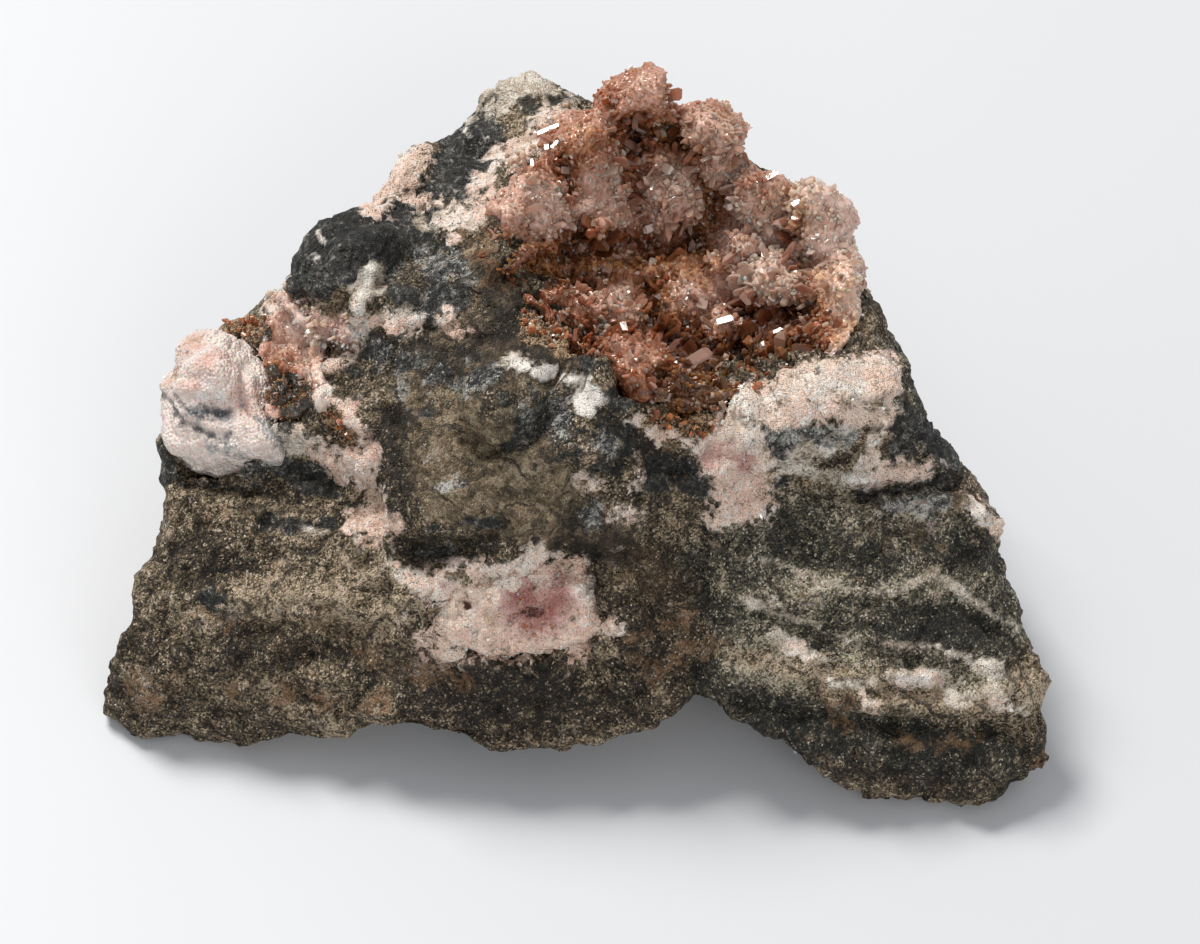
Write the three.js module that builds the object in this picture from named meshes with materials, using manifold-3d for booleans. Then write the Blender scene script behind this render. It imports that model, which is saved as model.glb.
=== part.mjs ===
// Rhodochrosite on matrix: a broken block of dark host rock that stands on three feet.
// A hollow in its top is lined with a crust of bladed rhodochrosite crystals, a banded rhodochrosite
// nodule sits in a socket at its left end, a small druse fills the gap behind the nodule, and a thin
// druse patch lies on the front slope.
// Millimetres, +Z up, front towards -Y. The origin is the middle of the bounding box's bottom.
import * as THREE from "three";
import { ConvexGeometry } from "three/addons/geometries/ConvexGeometry.js";
import { mergeVertices } from "three/addons/utils/BufferGeometryUtils.js";
import Module from "manifold-3d";

// ---------------------------------------------------------------- driving dimensions
const GAP = 0.35; // clearance between the rock and whatever sits in it
const ROCK_DETAIL = 11; // subdivision of the sphere that is drawn over the rock
const LUMP_DETAIL = 8; // subdivision of the rounded masses
const ROCK_HEART = [0, -1, 15]; // the point that the rock's surface is measured from
const ROCK_SPREAD = [1.35, 1, 0.9]; // more facets go to the long ends
const LEDGES = { height: 0.6, size: 11 };
const GRAIN = { height: 0.45, size: 5.2 };

// Corner points of the broken blocks that make up the host rock. Neighbouring blocks share a crease.
const BLOCKS = {
  heart: [
    [-17, -2, 28.5], [-11, 4, 32.5], [-5, -2, 32], [-4, 12, 33], [4, -11.5, 30.5],
    [-16.5, -16.5, 22.5], [-6, -18.2, 22.5], [4.5, -18.2, 23], [-12, 21, 26], [-3, 24.5, 29.5],
    [4, 22, 32], [13, 19, 30], [21, 10.5, 29], [24.5, 0.5, 27], [25, -7, 27.5], [9, -15.4, 23.5],
    [-20, 12, 6], [-14, 26, 5], [16, 25, 5], [27, 9, 5], [6, -20, 9], [-14, -19, 7],
  ],
  leftFlank: [
    [-41.4, -22.6, -3], [-28.5, -22.6, -3], [-40.8, -21.8, 4], [-39.6, -20, 8.4],
    [-37.8, -16.4, 11.4], [-35.8, -11, 15.5], [-35.8, -5, 18], [-33, 3, 18], [-24, -9.7, 19],
    [-15, -17.5, 16], [-13, -26, 7.5], [-18, -26, 6], [-26, -23.8, 5], [-38, -8, -3], [-35, 4, 6],
    [-28, 13, 5], [-14, -6, 4],
  ],
  leftShoulder: [
    [-35.6, -5, 18.5], [-34, 4, 18], [-30.4, 6.4, 20.6], [-25.8, 6, 23], [-22, -5, 22.5],
    [-17, -9, 25.5], [-20.5, 12, 24.5], [-32, 9, 8], [-25, 18, 6], [-14, 20, 20], [-16, -14, 12],
  ],
  frontBulge: [
    [-15.5, -18.5, 19], [4.5, -18.6, 20], [-15, -22, 13], [-3, -23.4, 12.6], [7, -22.5, 13],
    [-12.5, -27.2, 6], [-8.5, -28.8, 4], [-1.5, -29.4, 3.4], [3.6, -27, 5], [8.8, -25.6, 7.4],
    [9.4, -20, 13], [-12, -22, 4.6], [-2, -22, 3.8], [8, -18, 6], [0, -12, 6],
  ],
  rightFlank: [
    [37, -29, -3], [29.6, -30.6, -3], [26.6, -29.4, -3], [40.4, -29.6, 3.6], [39.8, -25.4, 8.4],
    [37.6, -18.6, 12.2], [36.6, -13.4, 15.4], [32.6, -9.4, 20.4], [22.4, -12.2, 21.4],
    [12, -15, 21.4], [9, -17.5, 18], [8.6, -24.4, 9.4], [14, -28.4, 7.8], [22.4, -30, 5.4],
    [34, -24, -3], [35, -6, 6], [10, -20, 6.5], [31.4, 3, 6], [27.4, 1, 17],
  ],
  rightShoulder: [
    [11, -12.4, 28], [26.2, -8.2, 28.8], [27.4, -5.4, 27], [29.4, -6.8, 23.4], [26.8, 0, 22],
    [10, -15, 22], [28, -10.4, 22.6], [12, -8, 12], [30, -2, 12], [24.4, 5, 27],
  ],
  back: [
    [-21, 23, 3], [0, 28, 3], [0, 29.5, 12], [18, 26, 3], [31.4, 3, 6], [27.4, 2, 16.6],
    [27, 12, 6], [21.5, 15, 23], [10, 25, 22], [-10, 28, 17], [-14, 25, 22], [-25, 17, 14],
    [0, 10, 4],
  ],
  backFoot: [
    [-7, 23, -3], [9, 24, -3], [-5, 31, -3], [8, 31, -3], [-8, 28, 8], [11, 28, 8], [0, 20, 6],
  ],
};

// Rounded masses that stand out of the broken blocks: middle, radii and turn about Z in degrees.
const LUMPS = {
  blackLump: { at: [-18.6, 7, 26.2], radii: [6.6, 6.8, 5.4], turn: 20 },
  pinkShoulder: { at: [-12.8, 17, 25.8], radii: [5.8, 6, 4.8], turn: 0 },
  backKnob: { at: [-4.4, 22.8, 28.8], radii: [5.6, 4.6, 3.6], turn: 10 },
  darkEye: { at: [-6.6, -8.6, 27.8], radii: [4.6, 4.4, 3.4], turn: 0 },
};

// Hollows and what fills them: middle, radii, subdivision, and bumps as pairs of height and size.
const VUG = { at: [9.4, 3.4, 37], radii: [18, 16.8, 17], detail: 5, bumps: [[2.4, 8]] };
const SIDE_VUG = { at: [-24.4, -0.2, 23.6], radii: [3.8, 7, 3.2], detail: 3, bumps: [[0.8, 3.5]] };
const NODULE = { at: [-30.4, -1.6, 18.8], radii: [5.6, 6.6, 6.4], detail: 4, bumps: [[0.6, 3]] };
const PATCH = { at: [-4.6, -20.5, 15], radii: [8.4, 4, 4.6], detail: 3, bumps: [[1.6, 4]] };

// Each crust: how thick it is, how far it stands proud of the rock round the rim, its round clusters
// as pairs of height and size, and its blades.
const MAIN_CRUST = {
  thickness: 2.4, proud: 1, detail: 7, clusters: [[1.5, 3.4]],
  blades: { count: 30, length: 3.2, width: 1.6, thickness: 0.6, seed: 11 },
};
const SIDE_CRUST = {
  thickness: 1.2, proud: 0.4, detail: 3, clusters: [[0.5, 1.8]],
  blades: { count: 5, length: 1.8, width: 1, thickness: 0.6, seed: 5 },
};
const PATCH_THICKNESS = 1.3;
const PATCH_PROUD = 0.5;
const BLADE_REACH = 27; // blades stand no further than this from the rock's heart

// A blade's proportions: how much of its length is buried, where its chisel tip starts, how wide the
// tip's corner sits, and the smallest and largest scale it grows to.
const BLADE = { buried: 0.5, shoulder: 0.78, tip: 0.45, scales: [0.7, 1.3] };

// Clusters of crystals that stand out of the main crust: middle and radius.
const CLUSTERS = [
  [5, 19, 34.2, 3.3], [11.2, 17, 32, 3.1], [20.4, 10, 29.8, 2.8], [15.6, 13, 30, 2.4],
  [0, 15.6, 32.6, 3], [1.5, 12.4, 27, 2.6], [7.4, 15, 27.4, 2.8], [17.4, 6, 24.6, 3.2],
  [22.4, 2.8, 27, 2.6], [4, 4, 22.6, 2.5], [4.6, -2.8, 23.4, 2.7], [12.6, 3.4, 21.4, 2.4],
];
const CLUSTER_SURFACE = { detail: 1, bumps: [[0.5, 1.7]] };

const UP = new THREE.Vector3(0, 0, 1);

const COLOURS = {
  rock: { color: 0x4b453d, roughness: 0.9, metalness: 0 },
  crystals: { color: 0xa8685a, roughness: 0.3, metalness: 0 },
  nodule: { color: 0xcfa294, roughness: 0.6, metalness: 0 },
  sideDruse: { color: 0xb57a62, roughness: 0.35, metalness: 0 },
  frontDruse: { color: 0xcf9f9a, roughness: 0.5, metalness: 0 },
};

// ---------------------------------------------------------------- noise and chance
// A repeatable number from 0 to 1 for each corner of a grid.
function cornerValue(i, j, k) {
  const s = Math.sin(i * 127.1 + j * 311.7 + k * 74.7) * 43758.5453;
  return s - Math.floor(s);
}

// Smooth noise from -1 to 1 with features about one unit across.
function noise(x, y, z) {
  const [i, j, k] = [Math.floor(x), Math.floor(y), Math.floor(z)];
  const ease = (t) => t * t * (3 - 2 * t);
  const [u, v, w] = [ease(x - i), ease(y - j), ease(z - k)];
  const mix = THREE.MathUtils.lerp;
  const along = (b, c) => mix(cornerValue(i, j + b, k + c), cornerValue(i + 1, j + b, k + c), u);
  return 2 * mix(mix(along(0, 0), along(1, 0), v), mix(along(0, 1), along(1, 1), v), w) - 1;
}

function noiseAt({ x, y, z }, size) {
  return noise(x / size, y / size, z / size);
}

function chance(seed) {
  let state = seed;
  return () => {
    state = (state * 16807) % 2147483647;
    return state / 2147483647;
  };
}

// ---------------------------------------------------------------- solids
const wasm = await Module();
wasm.setup();

// A closed geometry with its shared corners merged, as three.js needs for smooth editing.
function welded(geometry) {
  const bare = geometry.clone();
  bare.deleteAttribute("normal");
  bare.deleteAttribute("uv");
  return mergeVertices(bare, 1e-4);
}

function solid(geometry) {
  const closed = welded(geometry);
  return new wasm.Manifold(
    new wasm.Mesh({
      numProp: 3,
      vertProperties: new Float32Array(closed.attributes.position.array),
      triVerts: new Uint32Array(closed.index.array),
    }),
  );
}

function geometryOf(manifold) {
  const { vertProperties, triVerts, numProp } = manifold.getMesh();
  const positions = new Float32Array((vertProperties.length / numProp) * 3);
  for (let i = 0; i < positions.length / 3; i++) {
    positions.set(vertProperties.subarray(i * numProp, i * numProp + 3), i * 3);
  }
  const geometry = new THREE.BufferGeometry();
  geometry.setAttribute("position", new THREE.BufferAttribute(positions, 3));
  geometry.setIndex(new THREE.BufferAttribute(new Uint32Array(triVerts), 1));
  return geometry;
}

// A sphere of facets whose every corner is moved by place(direction), which returns a point.
function sculpted(detail, place) {
  const geometry = welded(new THREE.IcosahedronGeometry(1, detail));
  const corners = geometry.attributes.position;
  const direction = new THREE.Vector3();
  for (let i = 0; i < corners.count; i++) {
    const point = place(direction.fromBufferAttribute(corners, i).normalize());
    corners.setXYZ(i, point.x, point.y, point.z);
  }
  return geometry;
}

// An ellipsoid grown by a margin along its own directions, with its bumps all over it.
function lumpyBall({ at, radii, detail, bumps }, margin = 0) {
  return sculpted(detail, (direction) => {
    const outward = direction.clone();
    const point = direction.multiply(new THREE.Vector3(...radii)).add(new THREE.Vector3(...at));
    const height = bumps.reduce((sum, [h, size]) => sum + h * noiseAt(point, size), margin);
    return point.addScaledVector(outward, height);
  });
}

// ---------------------------------------------------------------- host rock
function convexBlock(points) {
  return new ConvexGeometry(points.map((p) => new THREE.Vector3(...p)));
}

function ellipsoid({ at, radii, turn }) {
  const geometry = new THREE.IcosahedronGeometry(1, LUMP_DETAIL);
  geometry.scale(...radii);
  geometry.rotateZ(THREE.MathUtils.degToRad(turn));
  geometry.translate(...at);
  return geometry;
}

// Height of the broken surface above the plain blocks: ledges, then coarse grain.
function roughness(point) {
  return LEDGES.height * noiseAt(point, LEDGES.size) + GRAIN.height * noiseAt(point, GRAIN.size);
}

// The outside of the rock before anything is hollowed out, grown by a margin. A sphere is drawn over
// the blocks and lumps: each of its corners moves out from the heart to the last surface it meets.
function rockOutside(margin) {
  const hidden = new THREE.MeshBasicMaterial({ side: THREE.BackSide });
  const masses = [
    ...Object.values(BLOCKS).map(convexBlock),
    ...Object.values(LUMPS).map(ellipsoid),
  ].map((geometry) => new THREE.Mesh(geometry, hidden));
  const heart = new THREE.Vector3(...ROCK_HEART);
  const caster = new THREE.Raycaster();
  return sculpted(ROCK_DETAIL, (direction) => {
    direction.multiply(new THREE.Vector3(...ROCK_SPREAD)).normalize();
    caster.set(heart, direction);
    const last = caster.intersectObjects(masses, false).at(-1);
    const point = last.point.addScaledVector(direction, roughness(last.point) + margin);
    point.z = Math.max(point.z, -margin); // the three feet are flat where they stand
    return point;
  });
}

// The rock grown by a margin: its outside is larger and its hollows are smaller.
function hostRock(margin = 0) {
  const patchBed = solid(lumpyBall(PATCH, -margin)).subtract(solid(rockOutside(margin - PATCH_THICKNESS)));
  return solid(rockOutside(margin))
    .subtract(solid(lumpyBall(VUG, -margin)))
    .subtract(solid(lumpyBall(SIDE_VUG, -margin)))
    .subtract(solid(lumpyBall(NODULE, -margin)))
    .subtract(patchBed);
}

// ---------------------------------------------------------------- crystals
// One tabular crystal that stands on the origin along +Z, with a chisel tip and a buried root.
function blade({ length, width, thickness }) {
  const [w, t, root] = [width / 2, thickness / 2, -BLADE.buried * length];
  const shoulder = BLADE.shoulder * length;
  const points = [];
  for (const side of [-1, 1]) {
    points.push([side * w, -t, root], [side * w, t, root]);
    points.push([side * w, -t, shoulder], [side * w, t, shoulder]);
    points.push([side * BLADE.tip * w, 0, length]);
  }
  return convexBlock(points);
}

// Blades that stand on the inside of a ball-shaped hollow and lean at random.
function bladesInside({ at, radii }, depth, { count, seed, ...size }) {
  const random = chance(seed);
  const [least, most] = BLADE.scales;
  const heart = new THREE.Vector3(...ROCK_HEART);
  const found = [];
  while (found.length < count) {
    const outward = new THREE.Vector3(random() * 2 - 1, random() * 2 - 1, -random()).normalize();
    const lean = new THREE.Vector3(random() - 0.5, random() - 0.5, random() - 0.5);
    const [scale, spin] = [least + (most - least) * random(), random() * Math.PI];
    const foot = outward.clone().multiply(new THREE.Vector3(...radii.map((r) => r - depth)));
    foot.add(new THREE.Vector3(...at));
    if (foot.distanceTo(heart) > BLADE_REACH) continue;
    const geometry = blade(size).scale(scale, scale, scale).rotateZ(spin);
    const inward = outward.negate().add(lean).normalize();
    geometry.applyQuaternion(new THREE.Quaternion().setFromUnitVectors(UP, inward));
    found.push(solid(geometry.translate(foot.x, foot.y, foot.z)));
  }
  return found;
}

// The crust of a hollow: a lumpy shell that ends a little above the rock's outside, with its blades
// and any lumps that stand out of it.
function crust(hollow, { thickness, proud, detail, clusters, blades }, lumps = []) {
  const inside = { ...hollow, detail, bumps: [...hollow.bumps, ...clusters] };
  const shell = solid(lumpyBall(hollow, -GAP))
    .intersect(solid(rockOutside(proud)))
    .subtract(solid(lumpyBall(inside, -thickness)));
  const growths = [...lumps, ...bladesInside(hollow, thickness, blades)];
  const standing = growths.reduce((sum, crystal) => sum.add(crystal)).subtract(hostRock(GAP));
  return largestBody(shell.add(standing));
}

// What is left once the crumbs that a cut leaves behind are swept away.
function largestBody(whole) {
  return whole.decompose().sort((a, b) => b.volume() - a.volume())[0];
}

function mainCrust() {
  const lumps = CLUSTERS.map(([x, y, z, r]) =>
    solid(lumpyBall({ at: [x, y, z], radii: [r, r, r], ...CLUSTER_SURFACE })),
  );
  return crust(VUG, MAIN_CRUST, lumps);
}

// The small druse grew against the nodule, so it stops short of it.
function sideCrust() {
  return largestBody(crust(SIDE_VUG, SIDE_CRUST).subtract(solid(lumpyBall(NODULE))));
}

// The druse patch on the front slope follows the rock's surface, in a shallow bed of its own.
function frontDruse() {
  const skin = solid(lumpyBall(PATCH, -GAP)).intersect(solid(rockOutside(PATCH_PROUD)));
  return largestBody(skin.subtract(solid(rockOutside(GAP - PATCH_THICKNESS))));
}

// ---------------------------------------------------------------- the specimen
function piece(name, geometry, look) {
  const mesh = new THREE.Mesh(geometry, new THREE.MeshStandardMaterial(look));
  mesh.name = name;
  return mesh;
}

const specimen = new THREE.Group();
specimen.add(
  piece("matrix", geometryOf(hostRock()), COLOURS.rock),
  piece("vug_crust", geometryOf(mainCrust()), COLOURS.crystals),
  piece("banded_nodule", lumpyBall(NODULE, -GAP), COLOURS.nodule),
  piece("side_crust", geometryOf(sideCrust()), COLOURS.sideDruse),
  piece("front_druse", geometryOf(frontDruse()), COLOURS.frontDruse),
);

// Put the middle of the bounding box's bottom at the origin.
const box = new THREE.Box3().setFromObject(specimen);
specimen.position.set(-(box.min.x + box.max.x) / 2, -(box.min.y + box.max.y) / 2, -box.min.z);

export default specimen;
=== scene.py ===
"""Looks of a rhodochrosite-on-matrix specimen, laid out as a Blender add-on and run as a script."""

import math

import bmesh
import bpy
import numpy as np
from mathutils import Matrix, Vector


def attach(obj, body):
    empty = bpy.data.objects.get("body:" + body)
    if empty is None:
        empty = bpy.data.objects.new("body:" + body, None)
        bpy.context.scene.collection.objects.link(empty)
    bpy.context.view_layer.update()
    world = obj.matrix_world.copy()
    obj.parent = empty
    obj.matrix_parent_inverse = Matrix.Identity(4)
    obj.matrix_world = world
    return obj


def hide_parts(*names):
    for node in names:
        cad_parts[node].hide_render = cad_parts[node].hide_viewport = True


bl_info = {
    "name": "Rhodochrosite specimen",
    "version": (1, 0, 0),
    "blender": (4, 5, 0),
    "location": "View3D > Sidebar > Specimen",
    "description": "Dresses a rhodochrosite-on-matrix specimen round its packed solids",
    "category": "Object",
}

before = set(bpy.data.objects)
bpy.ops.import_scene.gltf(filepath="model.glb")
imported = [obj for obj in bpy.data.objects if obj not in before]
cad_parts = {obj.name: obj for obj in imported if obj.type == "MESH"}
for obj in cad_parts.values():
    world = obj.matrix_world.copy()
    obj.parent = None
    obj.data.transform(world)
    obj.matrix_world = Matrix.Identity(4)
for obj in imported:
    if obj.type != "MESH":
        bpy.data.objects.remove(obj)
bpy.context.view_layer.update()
MM = 0.001

# ------------------------------------------------------------------ the front view
# Mineral zones are laid out as they are seen from the front, in millimetres on a plane through the
# aim point: u to the right, v up. The camera looks from the same place.
AIM = np.array([1.85, -5.53, 14.3])  # mm
LOOK_DOWN = math.radians(50)
STAND_OFF = 420.0  # mm from the camera to the aim point
ACROSS = np.array([1.0, 0.0, 0.0])
AWAY = np.array([0.0, math.cos(LOOK_DOWN), -math.sin(LOOK_DOWN)])
UPWARD = np.array([0.0, math.sin(LOOK_DOWN), math.cos(LOOK_DOWN)])
EYE = AIM - STAND_OFF * AWAY
VIEW_WIDTH = 101.7  # mm across the view at the aim point
TOWARD_WINDOW = np.array([-0.333, 0.443, 0.832])  # the direction of the main light

HOLLOW_MIDDLE = np.array([9.51, 2.77, 37.0])  # mm
HOLLOW_RADII = np.array([18.0, 16.8, 17.0])  # mm
HOLLOW_REACH = 17.0  # mm, one radius that stands for all three
NODULE_MIDDLE = np.array([-30.3, -2.2, 18.8])  # mm
NODULE_RADII = np.array([5.6, 6.6, 6.4])  # mm
PATCH_MIDDLE = np.array([-4.5, -21.1, 15.0])  # mm
PATCH_RADII = np.array([8.4, 4.0, 4.6])  # mm

# A stroke is (half width, point, point, ...). Each list paints one mineral or habit, apart from the dark rock
# list, which also paints shade.
PALE_PINK = [
    (1.5, (-19, 23), (-17, 25.4), (-15.8, 27)), (0.9, (-16.6, 24.4), (-15.4, 25.4)),
    (0.45, (-16.6, 23), (-12, 22.6), (-9.6, 22.6)),
    (0.7, (-10.2, 24.7), (-8.6, 26.6), (-6.2, 28.7), (-3.4, 30.9)),
    (0.8, (-9.6, 23.4), (-10.6, 21.6), (-13.2, 21.2), (-12.6, 20.2)),
    (0.9, (-27.7, 14), (-27.1, 16.2)),
    (1.5, (-26, 12.6), (-23, 12.4), (-21.6, 11.8)),
    (0.6, (-20.4, 14.2), (-20.4, 12.4), (-21.4, 10.2), (-22.4, 8.6)),
    (0.35, (-20.2, 13.2), (-17.4, 12.6), (-15, 13)),
    (0.45, (-12.5, 13.2), (-13.3, 12.4), (-12, 11.8)),
    (1.0, (-24.4, 9.8), (-23.8, 8), (-23.4, 6.6)),
    (0.55, (-22.4, 6.4), (-21.5, 4.6), (-20, 3), (-19.5, 1)),
    (0.6, (-25.2, 3.8), (-23.6, 2.2), (-22.6, 0.8), (-21.6, -0.6)),
    (0.9, (-20.6, 1), (-19.4, -1.4), (-18.8, -3)),
    (1.6, (-20.2, -3.8), (-18.2, -4.2)),
    (0.4, (-18, -5.8), (-17.6, -7.8), (-16.2, -9)),
    (0.6, (-15, -13.6), (-13, -14.2)),
    (0.45, (-11.8, -15.6), (-11, -16.6)),
    (1.5, (-13, -11.2), (-11, -10.8), (-8, -10)),
    (1.3, (-9, -12.6), (-5, -13.2), (-2, -12.8)), (0.5, (-1, -13), (1.4, -13.2)),
    (1.2, (-6, -8.4), (-5.4, -7)),
    (2.0, (-6.4, -10), (-3.6, -9.8)),
    (0.5, (-1.5, -0.5), (-0.8, -1.2), (0.6, -1)),
    (0.5, (3.2, 4.2), (5, 3), (7.6, 2)),
    (0.45, (3, 1.6), (3.2, -0.4), (2.5, -1.9)),
    (0.8, (1.6, -3.4), (3, -4.1)),
    (1.0, (10, 4.8), (14, 6), (18, 6.4), (22, 6.6), (24.4, 6.6)),
    (1.1, (12.5, 4.2), (16, 5), (20, 5), (24, 4.8)),
    (2.4, (10.8, 3.4), (12.2, 0.8), (11.8, -1.8)),
    (1.2, (9.4, 2.4), (9.8, 0.6), (13.6, -3)),
    (1.6, (12, 6), (18, 8), (24, 8.6)),
    (0.9, (23.4, 4), (23.4, 2.4), (22.6, 0.6)),
    (0.8, (22, -0.6), (24, -0.2), (26.4, 0), (28, 0.4)),
    (0.9, (30.6, -2.4), (32, -3.4), (33.6, -5)),
    (0.5, (9, -4), (10.6, -4.2)),
    (0.5, (25.4, -17.8), (27.6, -17.5)), (0.5, (22.4, -19.2), (23.4, -19.6)),
    (0.4, (16.4, -15), (17.8, -15.6)), (0.4, (34, -19.4), (35, -20)),
]
ROSY = [
    (1.6, (-5.6, -11), (-4.6, -11)),
    (1.1, (-3.6, -9.8), (-1.8, -9.2)),
    (0.8, (12.2, 1.2), (12.6, 0.6)),
    (1.6, (-25, 12), (-22, 11.6)),
    (0.8, (9.4, 1), (10.4, 2)),
]
MANGANESE_BLACK = [
    (2.7, (-24.6, 17.2), (-22, 18.4)), (1.6, (-12.6, 27.4), (-10.4, 26.8)),
    (1.9, (-26.4, 19.4), (-23, 22), (-19.6, 22.6)), (1.3, (-19, 22), (-17.4, 22)),
    (2.8, (-21.5, 18.6), (-18.5, 19.9)),
    (1.7, (-16.4, 21.2), (-15, 21.4)),
    (0.7, (-15.4, 19.8), (-13, 19.3)),
    (1.7, (-12.2, 28.2), (-9.6, 28.6)),
    (1.6, (-12.8, 26), (-10.6, 25.8)),
    (0.9, (-15.6, 24), (-11, 23.8)),
    (0.5, (-10.6, 30.8), (-8.6, 32.2)),
    (0.7, (-6.2, 31.2), (-5.4, 30.8)),
    (1.0, (-17, 14.9), (-16.2, 14.6)), (0.9, (-12.4, 14.8), (-11.6, 15)),
    (0.7, (-13.2, 14), (-12.6, 13.6)),
    (0.9, (-31.2, 11.4), (-29.4, 12.2)),
    (0.8, (-37, 1.8), (-36.6, -0.4)),
    (1.0, (-26.6, 0.6), (-24.6, -0.6), (-22.6, -1.2)),
    (0.3, (-35.4, -1), (-32, -1.4), (-28, -1)),
    (0.5, (-28.6, -4.4), (-25.6, -4.6), (-23, -4.4)),
    (0.9, (-33.2, -10.4), (-32.6, -10.8)),
    (0.6, (-5.4, 7), (-4.9, 4.8), (-5.8, 3.2), (-7.8, 2.4)), (0.6, (-6.8, 4), (-6, 3.4)),
    (0.35, (-12.6, 7.6), (-12.2, 9.2), (-10.4, 10)),
    (0.5, (-8.6, 6.4), (-7.6, 6)),
    (0.3, (-11, -4.2), (-8, -4.4)),
    (0.35, (-16.6, 8.4), (-15, 9.6)),
    (0.4, (-14.6, 4.8), (-13.6, 5.6)),
    (0.4, (-3.4, 1.2), (-2.2, 1.8)),
    (1.0, (1.7, 6.6), (2, 6.4)),
    (0.5, (-1.3, 10.4), (-1.1, 8.8)),
    (0.45, (-1.8, 3.4), (1, 3.8), (3, 3.6)),
    (0.6, (2.5, 3.2), (2.3, 1.6), (1.4, 0.3), (-0.6, 0.1)),
    (1.2, (4.6, 0.4), (4.8, -1)),
    (1.2, (6.6, 0.2), (8.8, -1.2)),
    (0.5, (-3.4, -7.4), (-2.8, -7.8)),
    (0.5, (-13.8, -12.6), (-13.6, -12.8)),
    (0.35, (-11.8, -13.4), (-11.7, -13.5)),
    (0.35, (-16.5, -6.4), (-12, -6.6)),
    (0.35, (-14, -4.8), (-12, -4.8)),
    (1.3, (25.6, 4.4), (27.4, 3.6), (29.4, 1.6)), (1.2, (25.3, 4.4), (25.6, 2)),
    (0.5, (24.4, 6.7), (24.6, 5.6)),
    (0.5, (22, -1.9), (24.5, -1.4), (26.5, -1), (28.5, -0.6), (29.8, -1.2)),
    (0.6, (15, 2), (15.4, 1.6)),
    (0.5, (15.4, -0.6), (15.6, -0.8)),
    (0.5, (-20.2, 1.2), (-19.8, 0.9)), (0.4, (-20.6, -0.7), (-20.3, -0.5)),
    (0.5, (-19.7, -2.6), (-19.5, -2.8)), (0.6, (-19.9, 11.2), (-19.6, 10.4)),
    (0.4, (-21.8, 8.6), (-19.8, 8.2)),
]
BLUE_GREY = [
    (0.8, (-18.9, 10.4), (-18.7, 10)),
    (0.8, (-18.4, 17), (-16.6, 18.6), (-14.6, 18.4), (-13.8, 16.2), (-14.6, 13.6), (-17, 12.8)),
    (0.9, (-12.4, 17.8), (-11, 16.4)),
    (1.2, (-28, 3.2), (-25.6, 3)),
    (0.9, (-30, 0.4), (-27, 1.6)),
    (1.5, (14.8, 3.2), (17, 2.6), (19, 2.6), (21, 3)),
    (1.1, (-3.6, 6), (-3.2, 3.6)),
    (0.9, (0, 2.6), (1, 2)),
    (0.5, (-1, -4), (0, -3.4)),
    (0.35, (24, -2.8), (27, -3), (29, -2.6)),
    (0.9, (-11.4, 7.4), (-9.6, 8)),
    (0.5, (-7, 5.2), (-6.2, 4.8)),
    (0.3, (-13.6, -1.2), (-12.4, -0.8)), (0.6, (-14.4, 7.6), (-13, 9.4)), (0.5, (-17, 9), (-16.6, 6.4)),
]
OLIVE_BROWN = [
    (2.2, (-9.6, 17), (-6, 13)),
    (4.2, (-14, 7), (-13, 0), (-8, -2)),
    (4, (-8, 2), (-5, -3)),
    (3.2, (-12, 9.6), (-6, 9.6)),
    (2.6, (-5.6, 12), (-3, 10.8)),
    (2.2, (-2.4, -4), (1, -5.4)),
]
RUST = [
    (0.6, (-39.4, -18.3), (-36.6, -17.4)),
    (0.6, (-39.4, -19.6), (-38, -19.8)),
    (0.7, (-32.6, -12.4), (-31.8, -13.2)),
    (0.6, (-31.2, -18.6), (-30.8, -20)),
    (0.6, (-27, -18.8), (-23, -19.4)),
    (0.5, (-21, -15.4), (-19, -16)),
    (0.7, (-20, -20), (-18.6, -19.4)),
    (1.2, (19.4, -19), (20.6, -20.6)),
    (0.5, (-11.6, -11.4), (-11.2, -11.5)),
    (0.3, (-13.2, -8.8), (-13, -9.6)),
    (0.8, (-37.4, 8), (-36, 9.6)),
    (0.6, (-32.4, 12.4), (-30, 10.2)),
    (0.8, (-22.6, 4.6), (-21, 2.6)),
    (0.8, (-16, -16.6), (-12, -17.6)),
    (0.7, (3, -13.8), (7, -12.6)),
    (0.8, (5, -16.6), (9, -14.6)),
    (0.6, (26, -22.8), (33, -23)),
    (1.0, (-11.8, 20.6), (-9, 20.4)), (0.9, (-10.4, 18.4), (-8.6, 16.6)),
]
TAN_GRAINS = [
    (1.9, (12, -15.6), (16, -16.4), (21, -17.8), (28, -18), (36, -18.8)),
    (2.6, (15.4, 0.8), (20.6, 0.6)), (0.8, (-1.6, -17), (1, -17.6)),
    (1.4, (-27.4, -3.2), (-23, -3)),
    (2.4, (16, 0), (20, 0.4)),
    (1.4, (17, -8.6), (20, -9.4)),
    (1.0, (25, -9.8), (28, -9.4)),
    (3.5, (-28, -9), (-19, -11)),
    (1.5, (-18, -8), (-15.5, -10.5)),
]
COOL_ROCK = [
    (7, (14, -8), (22, -9), (30, -11)), (5, (24, -4), (32, -8)), (3, (27, 3), (26, 8)),
    (2.4, (10, -18), (20, -22), (34, -24)),
]
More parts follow.
